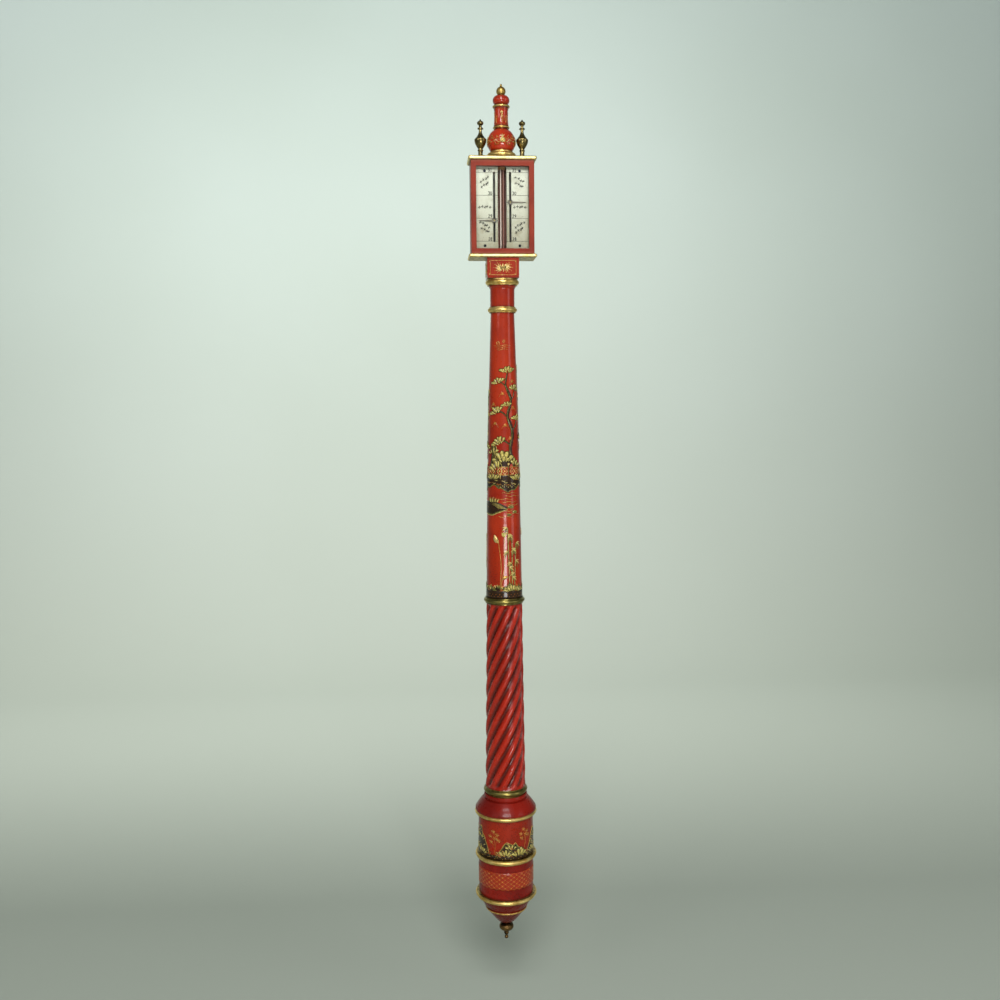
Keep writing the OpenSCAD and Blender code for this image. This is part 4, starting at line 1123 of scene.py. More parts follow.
    def band(self, pot: Pot, low: float, high: float, layer: int = 0, step: float = 3.0) -> None:
        """A ring of paint all the way round, for a turned surface.

        Args:
            pot: the paint.
            low, high: lower and upper edge.
            layer: the layer.
            step: greatest height of a row, small where the surface is curved.
        """
        rows = 2 + int((high - low) / step)
        v = np.linspace(low, high, rows)[:, None] + np.zeros((1, 97))
        u = np.linspace(-1, 1, 97)[None, :] * math.pi * self.surface.radius(v)
        self.cover(pot, u, v, layer)

    def rule(self, pot: Pot, start: Place, end: Place, width: float, layer: int = 1, steps: int = 0) -> None:
        """A straight line of even width; the arguments are those of a stroke."""
        self.stroke(pot, [start, end], width, layer, taper=0.0, steps=steps)

    def blossom(
        self, pot: Pot, heart: Pot, u: float, v: float, size: float,
        petals: int, layer: int, turn: float = 0.0,
    ) -> None:
        """A flower of round petals about a heart.

        Args:
            pot: the petals' paint.
            heart: the centre's paint.
            u, v: place and height of its centre.
            size: diameter.
            petals: number of petals.
            layer: layer of the petals.
            turn: turn of the first petal.
        """
        for k in range(petals):
            self.leaf(pot, u, v, turn + 360 * k / petals, size / 2, size * 2.2 / petals, layer, 0.0)
        self.dab(heart, u, v, size * 0.28, size * 0.28, layer + 1)

    def spray(self, pot: Pot, points: Points, leaves: int, length: float, width: float, layer: int) -> None:
        """A curved stem with leaves in pairs, smaller towards the tip.

        Args:
            pot: the paint.
            points: where the stem goes.
            leaves: number of pairs.
            length, width: size of the largest leaf.
            layer: the layer.
        """
        self.stroke(pot, points, 0.35, layer, taper=0.3)
        line = smooth_line(points, leaves * 4 + 1)
        for k in range(1, leaves + 1):
            heading = math.degrees(math.atan2(*(line[k * 4] - line[k * 4 - 1])[::-1]))
            scale = 1 - 0.55 * k / leaves
            for side in (-1, 1):
                angle = heading + side * 48 + self.wobble(-8, 8)
                root = line[k * 4 - (1 + side)]
                self.leaf(pot, *root, angle, length * scale, width * scale, layer, -0.12 * side)

    def feather(self, pot: Pot, points: Points, barbs: int, length: float, width: float) -> None:
        """A fern frond: a stem with fine bowed strokes on both sides, longest in the middle.

        Args:
            pot: the paint.
            points: where the stem goes.
            barbs: number of strokes on a side.
            length: length of the longest.
            width: width of the stem and the strokes.
        """
        self.stroke(pot, points, width, taper=0.3)
        line = smooth_line(points, barbs * 2 + 1)
        for k in range(1, barbs + 1):
            here, before = line[2 * k], line[2 * k - 1]
            heading = math.atan2(here[1] - before[1], here[0] - before[0])
            reach = length * math.sin(math.pi * (0.15 + 0.75 * k / barbs))
            for side in (-1, 1):
                a, b = heading + side * 0.75, heading + side * 0.35
                middle = (here[0] + 0.5 * reach * math.cos(a), here[1] + 0.5 * reach * math.sin(a))
                tip = (middle[0] + 0.5 * reach * math.cos(b), middle[1] + 0.5 * reach * math.sin(b))
                self.stroke(pot, [tuple(before), middle, tip], width, taper=0.6, steps=5)

    def foliage(
        self, u: float, v: float, width: float, height: float, light: Pot, count: int, leaf: float, layer: int
    ) -> None:
        """A leafy mass: a dark lobed base, then leaves that fan outward, then a few lights.

        Args:
            u, v: place and height of its centre.
            width, height: size of the mass.
            light: paint of the lights.
            count: number of leaves.
            leaf: length of a leaf.
            layer: layer of the base.
        """
        self.dab(Pot.INK, u, v, width, height, layer, 9, 0.1, self.wobble(0, 360))
        around = self.rng.uniform(0, FULL_TURN, count)
        out = np.sqrt(self.rng.uniform(0.02, 0.75, count))
        for a, r in sorted(zip(around, out), key=lambda pair: -pair[1]):
            x, y = u + width / 2 * r * math.cos(a), v + height / 2 * r * math.sin(a)
            heading = math.degrees(math.atan2(y - v + 0.35 * height, x - u)) + self.wobble(-20, 20)
            size = leaf * self.wobble(0.7, 1.15)
            paint = Pot.OLIVE if self.rng.random() < 0.6 else light
            over = layer + 1 + int(self.rng.random() < 0.5)
            self.leaf(paint, x, y, heading, size, size * 0.42, over)

    def cloud(
        self, u: float, v: float, size: float, heading: float, spread: float, count: int, layer: int
    ) -> None:
        """A bush of fat fingers side by side, each with a dark edge, an olive flank and a pale back.

        Part of the fan comes from the fingers' slant and the rest from their roots' distance.

        Args:
            u, v: middle of the fingers' roots.
            size: length of the fingers.
            heading: middle direction.
            spread: angle of the whole fan.
            count: number of fingers.
            layer: layer of the lowest paint.
        """
        across = math.radians(heading + 90)
        for k in range(count):
            share = k / (count - 1) - 0.5
            angle = heading + 0.62 * spread * share + self.wobble(-9, 9)
            root = size * share * spread / 190
            x, z = u + root * math.cos(across), v + root * math.sin(across) - 0.12 * size * abs(share)
            length = size * self.wobble(0.72, 1.08) * (1 - 0.5 * share * share)
            broad = size * self.wobble(0.4, 0.52) * min(1.0, 6.0 / count) ** 0.5
            over = layer + 3 * (k % 2)
            bow = -0.22 * share + self.wobble(-0.08, 0.08)
            self.leaf(Pot.UMBER, x, z, angle, length, broad, over, bow, 1.9)
            self.leaf(Pot.OLIVE, x, z, angle, length * 0.97, broad * 0.84, over + 1, bow, 1.9)
            self.leaf(Pot.CREAM, x, z, angle + 3, length * 0.93, broad * 0.58, over + 2, bow, 2.0)

    def crag(self, left: Points, right: Points, layer: int, hatch: int) -> None:
        """A dark standing rock between two lines that run upward, grooved along and lit on its right.

        Args:
            left, right: points of the two outlines, from the foot.
            layer: layer of the rock.
            hatch: number of short strokes across it.
        """
        self.area(Pot.INK, left, right, layer)
        a, b = smooth_line(left, hatch + 2), smooth_line(right, hatch + 2)
        dull = ((0.16, 0.5, Pot.OLIVE), (0.36, 1.1, Pot.OLIVE), (0.56, 0.7, Pot.CREAM))
        for share, broad, paint in (*dull, (0.74, 1.2, Pot.OLIVE), (0.97, 0.8, Pot.CREAM)):
            line = a * (1 - share) + b * share
            line[:, 0] += 0.25 * np.sin(np.arange(len(line)) * 1.9 + 9 * share)
            for start in range(0, len(line) - 2, 6):
                self.stroke(paint, line[start : start + 7], broad, layer + 1, taper=0.3, steps=14)
        for k in range(hatch):
            share, row = self.wobble(0.25, 0.95), int(self.rng.integers(1, hatch + 1))
            reach = self.wobble(0.8, 2.2)
            x, y = a[row] * (1 - share) + b[row] * share
            across = [(x - reach, y), (x, y - 0.6), (x + reach, y + 0.4)]
            self.stroke(Pot.UMBER if k % 3 else Pot.GOLD, across, 0.45, layer + 2)

    def finish(self, name: str) -> None:
        """Turns what was painted into one mesh per paint.

        Args:
            name: start of the pieces' names.
        """
        for pot, grids in self.grids.items():
            points, faces, count = [], [], 0
            for u, v, layer in grids:
                points.append(self.surface.place(u.ravel(), v.ravel(), self.lift + self.layer_step * layer))
                faces.append(grid_faces(*u.shape) + count)
                count += u.size
            piece = new_mesh(f"{name}_{pot.value.name}", np.vstack(points), np.vstack(faces))
            weld(piece, outward=False)
            shell = piece.modifiers.new("paint_thickness", "SOLIDIFY")
            shell.thickness = (self.lift + self.layer_step * self.top_layers + 0.1) * MM
            shell.offset = -1
            piece.data.materials.append(PAINTS[pot])
            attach(piece, CASE)
            log.info("%s: %d faces", piece.name, len(piece.data.polygons))


@dataclass
class Hanging:
    """The cranked strap on the back and its screws."""

    def build(self) -> None:
        """Dresses the strap and the screws."""
        dress(BRIGHT_BRASS, "hanging_strap", "strap_screws", form=Form.JOINED)


@dataclass
class CentreFinial:
    """Ball, neck, bun and tip on the hood, with their gilt rings and painted sprigs."""

    petals: int = 8
    curls: tuple[tuple[float, float, float, int], ...] = (
        (5.2, 2.4, 2.3, 1), (8.6, -1.2, 2.0, -1), (11.2, 2.8, 1.8, 1)
    )

    def build(self) -> None:
        """Dresses the turned pieces and paints them."""
        dress(LEAF, "ball_ring", "ball_top_ring", "neck_top_ring")
        dress(DULL_LEAF, "finial_tip")
        dress(SCARLET, "finial_ball", "finial_neck", "finial_bun")
        dress(STEEL, "finial_rod")
        self.paint_ball()
        self.paint_neck()

    def paint_ball(self) -> None:
        """A wreath of scrolling leaves round the ball, with a pale flower on each of four sides."""
        ball = Extent.of("finial_ball")
        brush = Brush(TurnedSurface("finial_ball", ball.foot, ball.top), 11)
        middle = ball.foot + (ball.top - ball.foot) * 0.4
        quarter = math.pi * float(brush.surface.radius(middle)) / 2
        turn = np.linspace(0.3, 2.1 * np.pi, 12)
        for k in range(4):
            u = (k - 2) * quarter + 0.4
            brush.blossom(Pot.CREAM, Pot.GOLD, u, middle, 6.6, self.petals, 3)
            for side in (-1, 1):
                for x, z, reach, rise in self.curls:
                    curl = reach * (0.25 + 0.75 * turn / turn[-1])
                    across, up = u + side * (x - curl * np.cos(turn)), middle + z + rise * curl * np.sin(turn)
                    brush.stroke(Pot.GOLD, np.stack([across, up], axis=1), 0.42, 1, taper=0.3)
                    at = (u + side * (x + 0.6), middle + z + 1.4 * rise)
                    brush.leaf(Pot.GOLD, *at, 90 * rise - 40 * side, 2.4, 0.8, 1)
                tendril = ((2, -0.6), (5, -2.2), (8, 0.6), (12, -1.6))
                frond = ((2, -2), (5.4, -4.2), (9.4, -4.4))
                tendril, frond = ([(u + side * x, middle + z) for x, z in way] for way in (tendril, frond))
                brush.stroke(Pot.PALE_GOLD, tendril, 0.4, 2, taper=0.3)
                brush.feather(Pot.FADED, frond, 7, 1.8, 0.28)
            for angle in (52, 90, 128):
                brush.leaf(Pot.PALE_GOLD, u, middle + 2.6, angle, 4.2, 0.9, 2)
        brush.finish("ball_wreath")

    def paint_neck(self) -> None:
        """A pale sprig on each of four sides, with fronds in faded gold between and under them."""
        neck = Extent.of("finial_neck")
        low, high = neck.foot, neck.top
        brush = Brush(TurnedSurface("finial_neck", low, high), 12)
        brush.band(Pot.FADED, low + 1.0, low + 1.4, 1)
        brush.band(Pot.FADED, high - 2.2, high - 1.9, 1)
        quarter = math.pi * float(brush.surface.radius(low + 8)) / 2
        for k in range(4):
            u = (k - 2) * quarter
            x = u + quarter / 2
            brush.feather(Pot.FADED, [(u, low + 2), (u + 0.8, low + 7), (u - 0.4, low + 13)], 7, 3.6, 0.45)
            brush.feather(Pot.FADED, [(x, low + 2), (x - 0.8, low + 6), (x + 0.3, low + 11)], 6, 3.2, 0.4)
            stem = [(u, low + 8), (u + 0.5, low + 11), (u - 0.2, low + 14.6)]
            brush.spray(Pot.PALE_GOLD, stem, 3, 2.4, 0.9, 2)
            brush.blossom(Pot.PALE_GOLD, Pot.RUSSET, u, low + 14.6, 3.4, 6, 3)
        brush.finish("finial_sprigs")


@dataclass
class Hood:
    """Case, glazed front frame, gilt mouldings, board and blocks inside, and the urn keys' bushes."""

    def build(self) -> None:
        """Dresses the joined pieces."""
        finishes = {
            CASE_RED: ("hood_case",),
            FRAME_RED: ("front_frame",),
            MOULDING_LEAF: ("top_moulding", "bottom_moulding"),
            BEAD_RED: ("glazing_bead",),
            MAROON: ("backing_board",),
            OAK: ("top_block", "bottom_block"),
            PANE_GLASS: ("window_glass",),
            OLD_BRASS: ("key_bushes",),
            BRIGHT_BRASS: ("screw_footsteps",),
        }
        for finish, nodes in finishes.items():
            dress(finish, *nodes, form=Form.JOINED)


@dataclass
class ScalePlates:
    """The two silvered plates with engraved lines, ticks, plain numbers and scroll ornaments."""

    first_inch: int = 28
    last_inch: int = 31
    inch: float = 25.4
    top_line_drop: float = 11.0
    slot_x: float = 9.1
    slot_half: float = 1.0
    numeral_h: float = 3.5
    line_w: float = 0.26
    slant: float = 30

    def build(self) -> None:
        """Dresses the plates and screws and engraves both plates."""
        for side, node in ((-1, "left_scale_plate"), (1, "right_scale_plate")):
            dress(SILVERED, node, form=Form.JOINED)
            self.engrave(side, node)
        dress(BLUED, "plate_screws", form=Form.JOINED)

    def engrave(self, side: int, node: str) -> None:
        """Cuts and waxes one plate.

        Args:
            side: minus one for the left plate, one for the right.
            node: the plate's CAD node.
        """
        plate = Extent.of(node)
        inner, outer = sorted(abs(x) / MM for x in (plate.low[0], plate.high[0]))
        outer -= 0.6
        top, fine, broad = plate.top - self.top_line_drop, self.line_w, self.line_w * 1.3
        self.brush = Brush(FlatSurface((0, plate.low[1], 0)), 20 + side, "silvered_brass", 0.015, 0.0)
        for number in range(self.first_inch, self.last_inch + 1):
            z = top - (self.last_inch - number) * self.inch
            self.brush.rule(Pot.WAX, (side * (self.slot_x + 1.6), z), (side * outer, z), broad)
            self.brush.rule(Pot.WAX, (side * (inner + 0.2), z), (side * (self.slot_x - 1.4), z), broad)
            start = self.slot_x + 2.2 if side > 0 else -(self.slot_x + 2.2 + self.numeral_h * 1.35)
            self.number(str(number), start, z + 0.7)
        step = self.inch / 10
        ticks = (self.last_inch - self.first_inch) * 10
        for k in range(ticks + 1):
            z = top - k * step
            length = 1.0 if k % 5 else 1.5
            self.brush.rule(Pot.WAX, (side * (inner + 0.3), z), (side * (inner + 0.3 + length), z), fine)
        beside = self.slot_half + 0.35
        for x in (inner + 0.3, self.slot_x - beside, self.slot_x + beside):
            self.brush.rule(Pot.WAX, (side * x, top + 0.9), (side * x, top - ticks * step - 0.9), fine)
        self.ornaments(side, top, (self.slot_x + outer) / 2 + 0.6)
        self.brush.finish(f"{node}_engraving")

    def ornaments(self, side: int, top: float, middle: float) -> None:
        """Scroll borders that take the place of words, slanted as engravers set them.

        Args:
            side: minus one for the left plate, one for the right.
            top: height of the topmost inch line.
            middle: distance of the ornaments' middle from the tube.
        """
        halfway, low, tilt = 1.5 * self.inch, 2 * self.inch, self.slant
        high_rows = ((7.8, -tilt, 13.0, 0.0), (13.8, -tilt, 11.0, 0.4), (halfway, 0, 14.5, 0.0))
        low_rows = ((low + 7.0, tilt, 13.5, 0.0), (low + 13.0, tilt, 11.5, 0.4))
        for drop, angle, length, inset in high_rows + low_rows:
            self.scroll(side * (middle - inset), top - drop, side * angle, length)

    def scroll(self, u: float, v: float, angle: float, length: float) -> None:
        """A row of engraved buds, each a short stem, two leaves and a berry, in groups of three.

        Args:
            u, v: middle of the row.
            angle: slant in degrees.
            length: its length.
        """
        c, s = math.cos(math.radians(angle)), math.sin(math.radians(angle))
        buds = max(3, round(length / 2.9))
        for k in range(buds):
            w = (k + 0.5) / buds * length - length / 2 + (0.3 if k % 3 else -0.3)
            x, y = u + w * c, v + w * s
            rise = 1 if k % 2 else -1
            stem = [(x - rise * t * s, y + rise * t * c) for t in (-1.4, 0, 1.1)]
            self.brush.stroke(Pot.WAX, stem, 0.55, taper=0.3)
            for flip in (-1, 1):
                self.brush.leaf(Pot.WAX, x, y, angle + rise * 90 + flip * 62, 1.9, 0.85)
            self.brush.dab(Pot.WAX, x - rise * 1.6 * s, y + rise * 1.6 * c, 0.85, 0.85)

    def number(self, digits: str, u: float, v: float) -> None:
        """Engraved numerals, each a few strokes in a box of unit height.

        Args:
            digits: what to write.
            u, v: left edge of the first numeral and foot of all.
        """
        eight = [(0.3, 0.52), (0.1, 0.76), (0.3, 1), (0.5, 0.76), (0.3, 0.52)]
        eight += [(0.06, 0.26), (0.3, 0), (0.54, 0.26), (0.3, 0.52)]
        strokes = {
            "0": [[(0.3, 1), (0.08, 0.75), (0.08, 0.25), (0.3, 0), (0.52, 0.25), (0.52, 0.75), (0.3, 1)]],
            "1": [[(0.12, 0.82), (0.32, 1), (0.32, 0)], [(0.14, 0), (0.5, 0)]],
            "2": [
                [(0.08, 0.78), (0.28, 1), (0.5, 0.76), (0.34, 0.42), (0.06, 0.02)],
                [(0.06, 0.03), (0.54, 0.03)],
            ],
            "3": [
                [(0.08, 0.86), (0.3, 1), (0.5, 0.78), (0.26, 0.55)],
                [(0.26, 0.55), (0.54, 0.3), (0.3, 0), (0.06, 0.14)],
            ],
            "8": [eight],
            "9": [[(0.5, 0.72), (0.3, 0.46), (0.08, 0.72), (0.3, 1), (0.5, 0.74), (0.44, 0.3), (0.14, 0)]],
        }
        for place, digit in enumerate(digits):
            left = u + place * self.numeral_h * 0.7
            for line in strokes[digit]:
                points = [(left + x * self.numeral_h, v + y * self.numeral_h) for x, y in line]
                self.brush.stroke(Pot.WAX, points, 0.6, taper=0.2, steps=6 * len(points))


@dataclass
class PointerDrive:
    """One pointer with its carriage, lead screw and urn key."""

    side: str
    pitch: float = 4.0
    depth: float = 0.55
    bush: float = 6.0
    edge: float = 0.4

    def build(self) -> None:
        """Dresses the drive and cuts the lead screw's thread."""
        dress(DARK_BRASS, f"{self.side}_urn_key")
        dress(OLD_BRASS, f"{self.side}_carriage", form=Form.JOINED)
        dress(GREY_STEEL, f"{self.side}_pointer", form=Form.JOINED)
        node = f"{self.side}_lead_screw"
        screw = Extent.of(node)
        radius, foot, top, edge = screw.radius / MM, screw.foot, screw.top, self.edge
        half = [(0, foot), (radius - edge, foot), (radius, foot + edge)]
        half += [(radius, top - edge), (radius - edge, top), (0, top)]
        thread = (foot + self.bush, top - 4 * self.bush, self.pitch, self.depth, 1)
        piece = turned_mesh(f"{node}_threaded", rounded(half, 0.5), screw.middle, thread)
        adopt(piece, STEEL, f"{self.side}_key", node)


@dataclass
class Tube:
    """Glass tube with its mercury and corks."""

    def build(self) -> None:
        """Dresses the tube and what holds it."""
        dress(TUBE_GLASS, "barometer_tube")
        dress(QUICKSILVER, "mercury_column")
        dress(CORK, "tube_top_cork", "tube_neck_cork")


@dataclass
class NeckBlock:
    """Square block under the hood with a gold border and a leafy rosette on three sides."""

    margin: float = 3.4
    line: float = 0.4
    rosette_w: float = 20.0
    rosette_h: float = 10.0

    def build(self) -> None:
        """Dresses the block and its ring and paints the block."""
        dress(BLOCK_RED, "neck_block", form=Form.JOINED)
        dress(LEAF, "neck_ring")
        block = Extent.of("neck_block")
        (left, front, _), (right, back, _) = block.low, block.high
        top, middle = Extent.of("bottom_moulding").foot, block.middle[1]
        faces = {
            "front": (FlatSurface((0, front, 0)), right - left),
            "left": (FlatSurface((left, middle, 0), (0, -1, 0), (-1, 0, 0)), back - front),
            "right": (FlatSurface((right, middle, 0), (0, 1, 0), (1, 0, 0)), back - front),
        }
        for seed, (label, (face, width)) in enumerate(faces.items(), start=30):
            brush = Brush(face, seed)
            self.border(brush, width / MM, block.foot, top)
            self.rosette(brush, (block.foot + top) / 2)
            brush.finish(f"neck_block_{label}")

    def border(self, brush: Brush, width: float, foot: float, top: float) -> None:
        """A thin gold rectangle with a small bud in each corner.

        Args:
            brush: the face's brush.
            width: width of the face.
            foot, top: its lower and upper edge.
        """
        x, low, high = width / 2 - self.margin, foot + self.margin, top - self.margin
        for z in (low, high):
            brush.rule(Pot.GOLD, (-x, z), (x, z), self.line)
        for corner in (-x, x):
            brush.rule(Pot.GOLD, (corner, low), (corner, high), self.line)
        for corner in (-x, x):
            for z, turn in ((low, 1), (high, -1)):
                brush.leaf(Pot.GOLD, corner, z, 180 - turn * 45, 2.2, 0.9)

    def rosette(self, brush: Brush, middle: float) -> None:
        """A palmette spray: leaves that fan left and right about a small flower.

        Args:
            brush: the face's brush.
            middle: height of its centre.
        """
        for side in (-1, 1):
            for k, angle in enumerate((0, 24, -24, 46, -46, 68, -68)):
                a = math.radians(angle)
                length = (self.rosette_w / 2 - 1.6) * math.hypot(math.cos(a), 0.45 * math.sin(a))
                heading = angle if side > 0 else 180 - angle
                brush.leaf(Pot.PALE_GOLD, side * 1.5, middle, heading, length, 1.7 - 0.1 * k, 1)
                x, z = (length + 0.7) * math.cos(a), (length + 0.7) * math.sin(a)
                brush.dab(Pot.GOLD, side * (1.5 + x), middle + z, 0.8, 0.8)
        for angle in (90, -90):
            brush.leaf(Pot.PALE_GOLD, 0, middle, angle, self.rosette_h / 2, 1.6)
        brush.blossom(Pot.CREAM, Pot.RUSSET, 0, middle, 3.6, 6, 3)


@dataclass
class Column:
    """Upper column and tapered column, with garden scenery painted round the tapered one.

    A drop is a depth under the top of the tapered column.
    """

    panel: float = 15.0

    def build(self) -> None:
        """Dresses the turned pieces and paints the scenery."""
        dress(VERMILION, "upper_column", "tapered_column")
        dress(LEAF, "column_ring")
        dress(OLD_BRASS, "middle_ring")
        self.foot, self.top = Extent.of("middle_ring").top, Extent.of("column_ring").foot
        self.brush = Brush(TurnedSurface("tapered_column", self.foot, self.top), 41)
        self.wisp(-3.0, 34)
        self.tree()
        self.rockery()
        self.terrace(self.at(188))
        self.water(206)
        self.bamboo(8.0, 246, 320)
        self.lotus(-6.0, 314, 262)
        self.ground()
        self.flank(-38, 70)
        self.flank(38, 60)
        self.brush.finish("column_scenery")

    def at(self, drop: float) -> float:
        """Height of a drop."""
        return self.top - drop

    def down(self, points: Points) -> Points:
        """Places and drops turned into places and heights."""
        return [(x, self.at(drop)) for x, drop in points]

    def wisp(self, u: float, drop: float) -> None:
        """A gold cloud scroll: two curls, each a spiral whose radius grows evenly, over long tails.

        Args:
            u: place of its middle.
            drop: drop of the curls.
        """
        turn = np.linspace(0, 2.6 * np.pi, 14)
        for side, reach in ((-1, 2.8), (1, 2.1)):
            radius = reach * (0.25 + 0.75 * turn / turn[-1])
            x, z = u + side * (3 + radius * np.cos(turn)), self.at(drop) + 1.2 * side + radius * np.sin(turn)
            self.brush.stroke(Pot.GOLD, np.stack([x, z], axis=1), 0.5, 1, taper=0.2)
        for k in range(3):
            z = self.at(drop + 3.4 + 2.2 * k)
            tail = [(u - 9 + 2 * k, z), (u - 2, z - 0.8), (u + 5 - k, z + 0.5), (u + 12 - 2 * k, z - 0.4)]
            self.brush.stroke(Pot.GOLD, tail, 0.45, 1)

    def tree(self) -> None:
        """A tall crooked tree at the right, with pads of pale leaves at its boughs' ends and blossoms."""
        trunk = [(12, 176), (7, 156), (10, 137), (4, 118), (8, 99), (2, 83), (4, 68)]
        boughs = (
            ([(8, 152), (0, 146), (-6, 149)], 2.0),
            ([(9, 136), (14, 129), (16, 122)], 1.8),
            ([(5, 120), (-3, 113), (-9, 114)], 1.8),
            ([(8, 100), (12, 94), (13, 88)], 1.4),
            ([(3, 86), (-2, 80), (-7, 80)], 1.4),
        )
        for points, width in ((trunk[:4], 4.4), (trunk[2:6], 3.2), (trunk[4:], 2.0), *boughs):
            line = self.down(points)
            self.brush.stroke(Pot.INK, line, width, 1, taper=0.25)
            for paint, shift, share in ((Pot.OLIVE, -0.2, 0.22), (Pot.UMBER, 0.25, 0.2)):
                beside = [(x + shift * width, z) for x, z in line]
                self.brush.stroke(paint, beside, share * width, 2, taper=0.3)
        pads = (
            (4, 68, 8.5, 92), (-7, 80, 7.5, 110), (13, 88, 7.0, 80), (-9, 114, 8.5, 115),
            (16, 122, 7.5, 85), (-6, 149, 9.0, 120), (3, 106, 5.5, 100),
        )
        for x, drop, size, heading in pads:
            self.brush.cloud(x, self.at(drop), size, heading, 185, 6, 3)
            self.brush.cloud(x + 1, self.at(drop + 0.5), size * 0.55, heading, 130, 3, 9)
        for x, drop in ((-2, 92), (10, 78), (1, 128), (11, 108), (-11, 126), (7, 143), (-13, 104)):
            z = self.at(drop)
            self.brush.blossom(Pot.FADED, Pot.GOLD, x, z, 4.6, 5, 1, self.brush.wobble(0, 72))
            for angle in (215, 325):
                c, s = math.cos(math.radians(angle)), math.sin(math.radians(angle))
                tail = [(x, z), (x + 3.4 * c, z + 3.4 * 0.8 * s), (x + 5.4 * c, z + 5.4 * 1.6 * s)]
                self.brush.stroke(Pot.FADED, tail, 0.45, 1)

    def rockery(self) -> None:
        """A grooved garden rock at the left under the tree, with big pale bushes and dark shade."""
        left = self.down([(-18, 190), (-20, 176), (-16, 164), (-17, 152)])
        right = self.down([(-5, 190), (-3, 176), (-7, 164), (-10, 152)])
        self.brush.crag(left, right, 1, 16)
        self.brush.dab(Pot.INK, 0, self.at(170), 17, 14, 1, 7, 0.12, 40)
        bushes = (
            (-1.5, 170, 14.0, 100, 150, 5, 3), (-0.5, 170, 7.5, 95, 110, 3, 10),
            (-9, 178, 11.0, 125, 120, 4, 4), (12, 174, 8.5, 70, 120, 4, 4), (-14, 160, 6.5, 95, 170, 4, 3),
        )
        for x, drop, *fan in bushes:
            self.brush.cloud(x, self.at(drop), *fan)

    def terrace(self, z: float) -> None:
        """A dark bank all round with a fence on it and plants before it.

        Args:
            z: height of the fence's foot.
        """
        brush, x = self.brush, np.linspace(-50, 50, 27)
        upper = np.stack([x, z + 3 + 0.8 * np.sin(x * 0.31)], axis=1)
        lower = np.stack([x, z - 13 - 3.4 * np.sin(x * 0.17 + 0.8) - 1.2 * np.sin(x * 0.6)], axis=1)
        brush.area(Pot.INK, lower, upper, 0)
        brush.stroke(Pot.OLIVE, lower + [0, 0.5], 1.0, 2, taper=0.1)
        for k in range(-3, 4):
            self.fence(k * self.panel - 10.5, z)
        for k in range(34):
            x, y = -46 + 2.8 * k, z - 1.5 - 6.5 * float(brush.rng.random())
            paint = (Pot.CREAM, Pot.FADED, Pot.UMBER, Pot.PALE_GOLD)[k % 4]
            brush.stroke(paint, [(x, y), (x + 2.2, y - 0.9), (x + 4.8, y - 0.4)], 0.55, 2)
        for k in range(16):
            row = k % 3
            paint = Pot.CREAM if row else Pot.GOLD
            brush.dab(paint, -9 + 1.5 * k + 0.5 * row, z - 8.4 - 1.3 * row, 1.0, 0.8, 2)
        for x, y, size in ((-14, -2, 8.5), (14, -3, 8.0), (30, -1, 7.5), (-34, -2, 8.0), (42, -2, 7.0)):
            brush.cloud(x, z + y, size, 90, 165, 5, 6)

    def fence(self, left: float, z: float) -> None:
        """A red panel of the fence with two gold diamonds, its rails and the gold-capped post beside it.

        Args:
            left: place of the post.
            z: height of the fence's foot.
        """
        brush, right = self.brush, left + self.panel
        brush.area(Pot.RUSSET, [(left, z + 2.5), (right, z + 2.5)], [(left, z + 12), (right, z + 12)], 1)
        for a, b in ((0.1, 0.5), (0.5, 0.9)):
            p, q = left + self.panel * a, left + self.panel * b
            m = (p + q) / 2
            corners = [(p, z + 7.2), (m, z + 11.2), (q, z + 7.2), (m, z + 3.4), (p, z + 7.2)]
            for start, end in zip(corners[:-1], corners[1:]):
                brush.rule(Pot.PALE_GOLD, start, end, 0.5, 3, 4)
            brush.dab(Pot.GOLD, m, z + 7.3, 1.8, 2.2, 3)
        for rail in (2.9, 12.0):
            brush.rule(Pot.GOLD, (left, z + rail), (right, z + rail), 0.7, 3)
        brush.rule(Pot.INK, (left, z + 1), (left, z + 14.6), 1.9, 4)
        brush.rule(Pot.GOLD, (left - 0.5, z + 1), (left - 0.5, z + 14.4), 0.4, 5)
        brush.dab(Pot.PALE_GOLD, left, z + 15.6, 2.4, 2.4, 5)

    def water(self, drop: float) -> None:
        """Gold ripples, a dark islet at the left with reeds, and three lily pads.

        Args:
            drop: drop of the highest ripple.
        """
        brush = self.brush
        for k in range(9):
            z, x = self.at(drop + 3.4 * k), -4 + 5 * math.sin(2.1 * k)
            points = [(x + 3.2 * j, z + 0.7 * math.sin(j * 1.9 + k)) for j in range(7)]
            brush.stroke(Pot.GOLD, points, 0.5, 1, taper=0.6)
        z = self.at(drop + 12)
        lower = [(-30, z - 11), (-17, z - 13), (-8, z - 10), (3, z - 6)]
        upper = [(-30, z + 1), (-17, z + 3), (-8, z + 1), (3, z - 4)]
        brush.area(Pot.INK, lower, upper, 1)
        brush.stroke(Pot.OLIVE, lower, 1.3, 2, taper=0.3)
        brush.stroke(Pot.PALE_GOLD, [(x, y - 0.9) for x, y in lower], 0.6, 3, taper=0.3)
        for k in range(5):
            x, y = 2 * k, z - 1.2 * k
            brush.stroke(Pot.CREAM, [(x - 16, y - 1), (x - 11, y - 0.6), (x - 6, y - 1.2)], 0.5, 3)
        for k in range(8):
            paint = Pot.CREAM if k % 2 else Pot.OLIVE
            brush.leaf(paint, -18 + 1.3 * k, z + 1, 120 - 9 * k, 7.0 - 0.3 * k, 1.3, 3, 0.15)
        for x, depth, size in ((7, 16, 5.2), (12, 22, 4.4), (5, 25, 3.8)):
            z = self.at(drop + depth)
            brush.dab(Pot.OLIVE, x, z, size * 1.5, size * 0.7, 2)
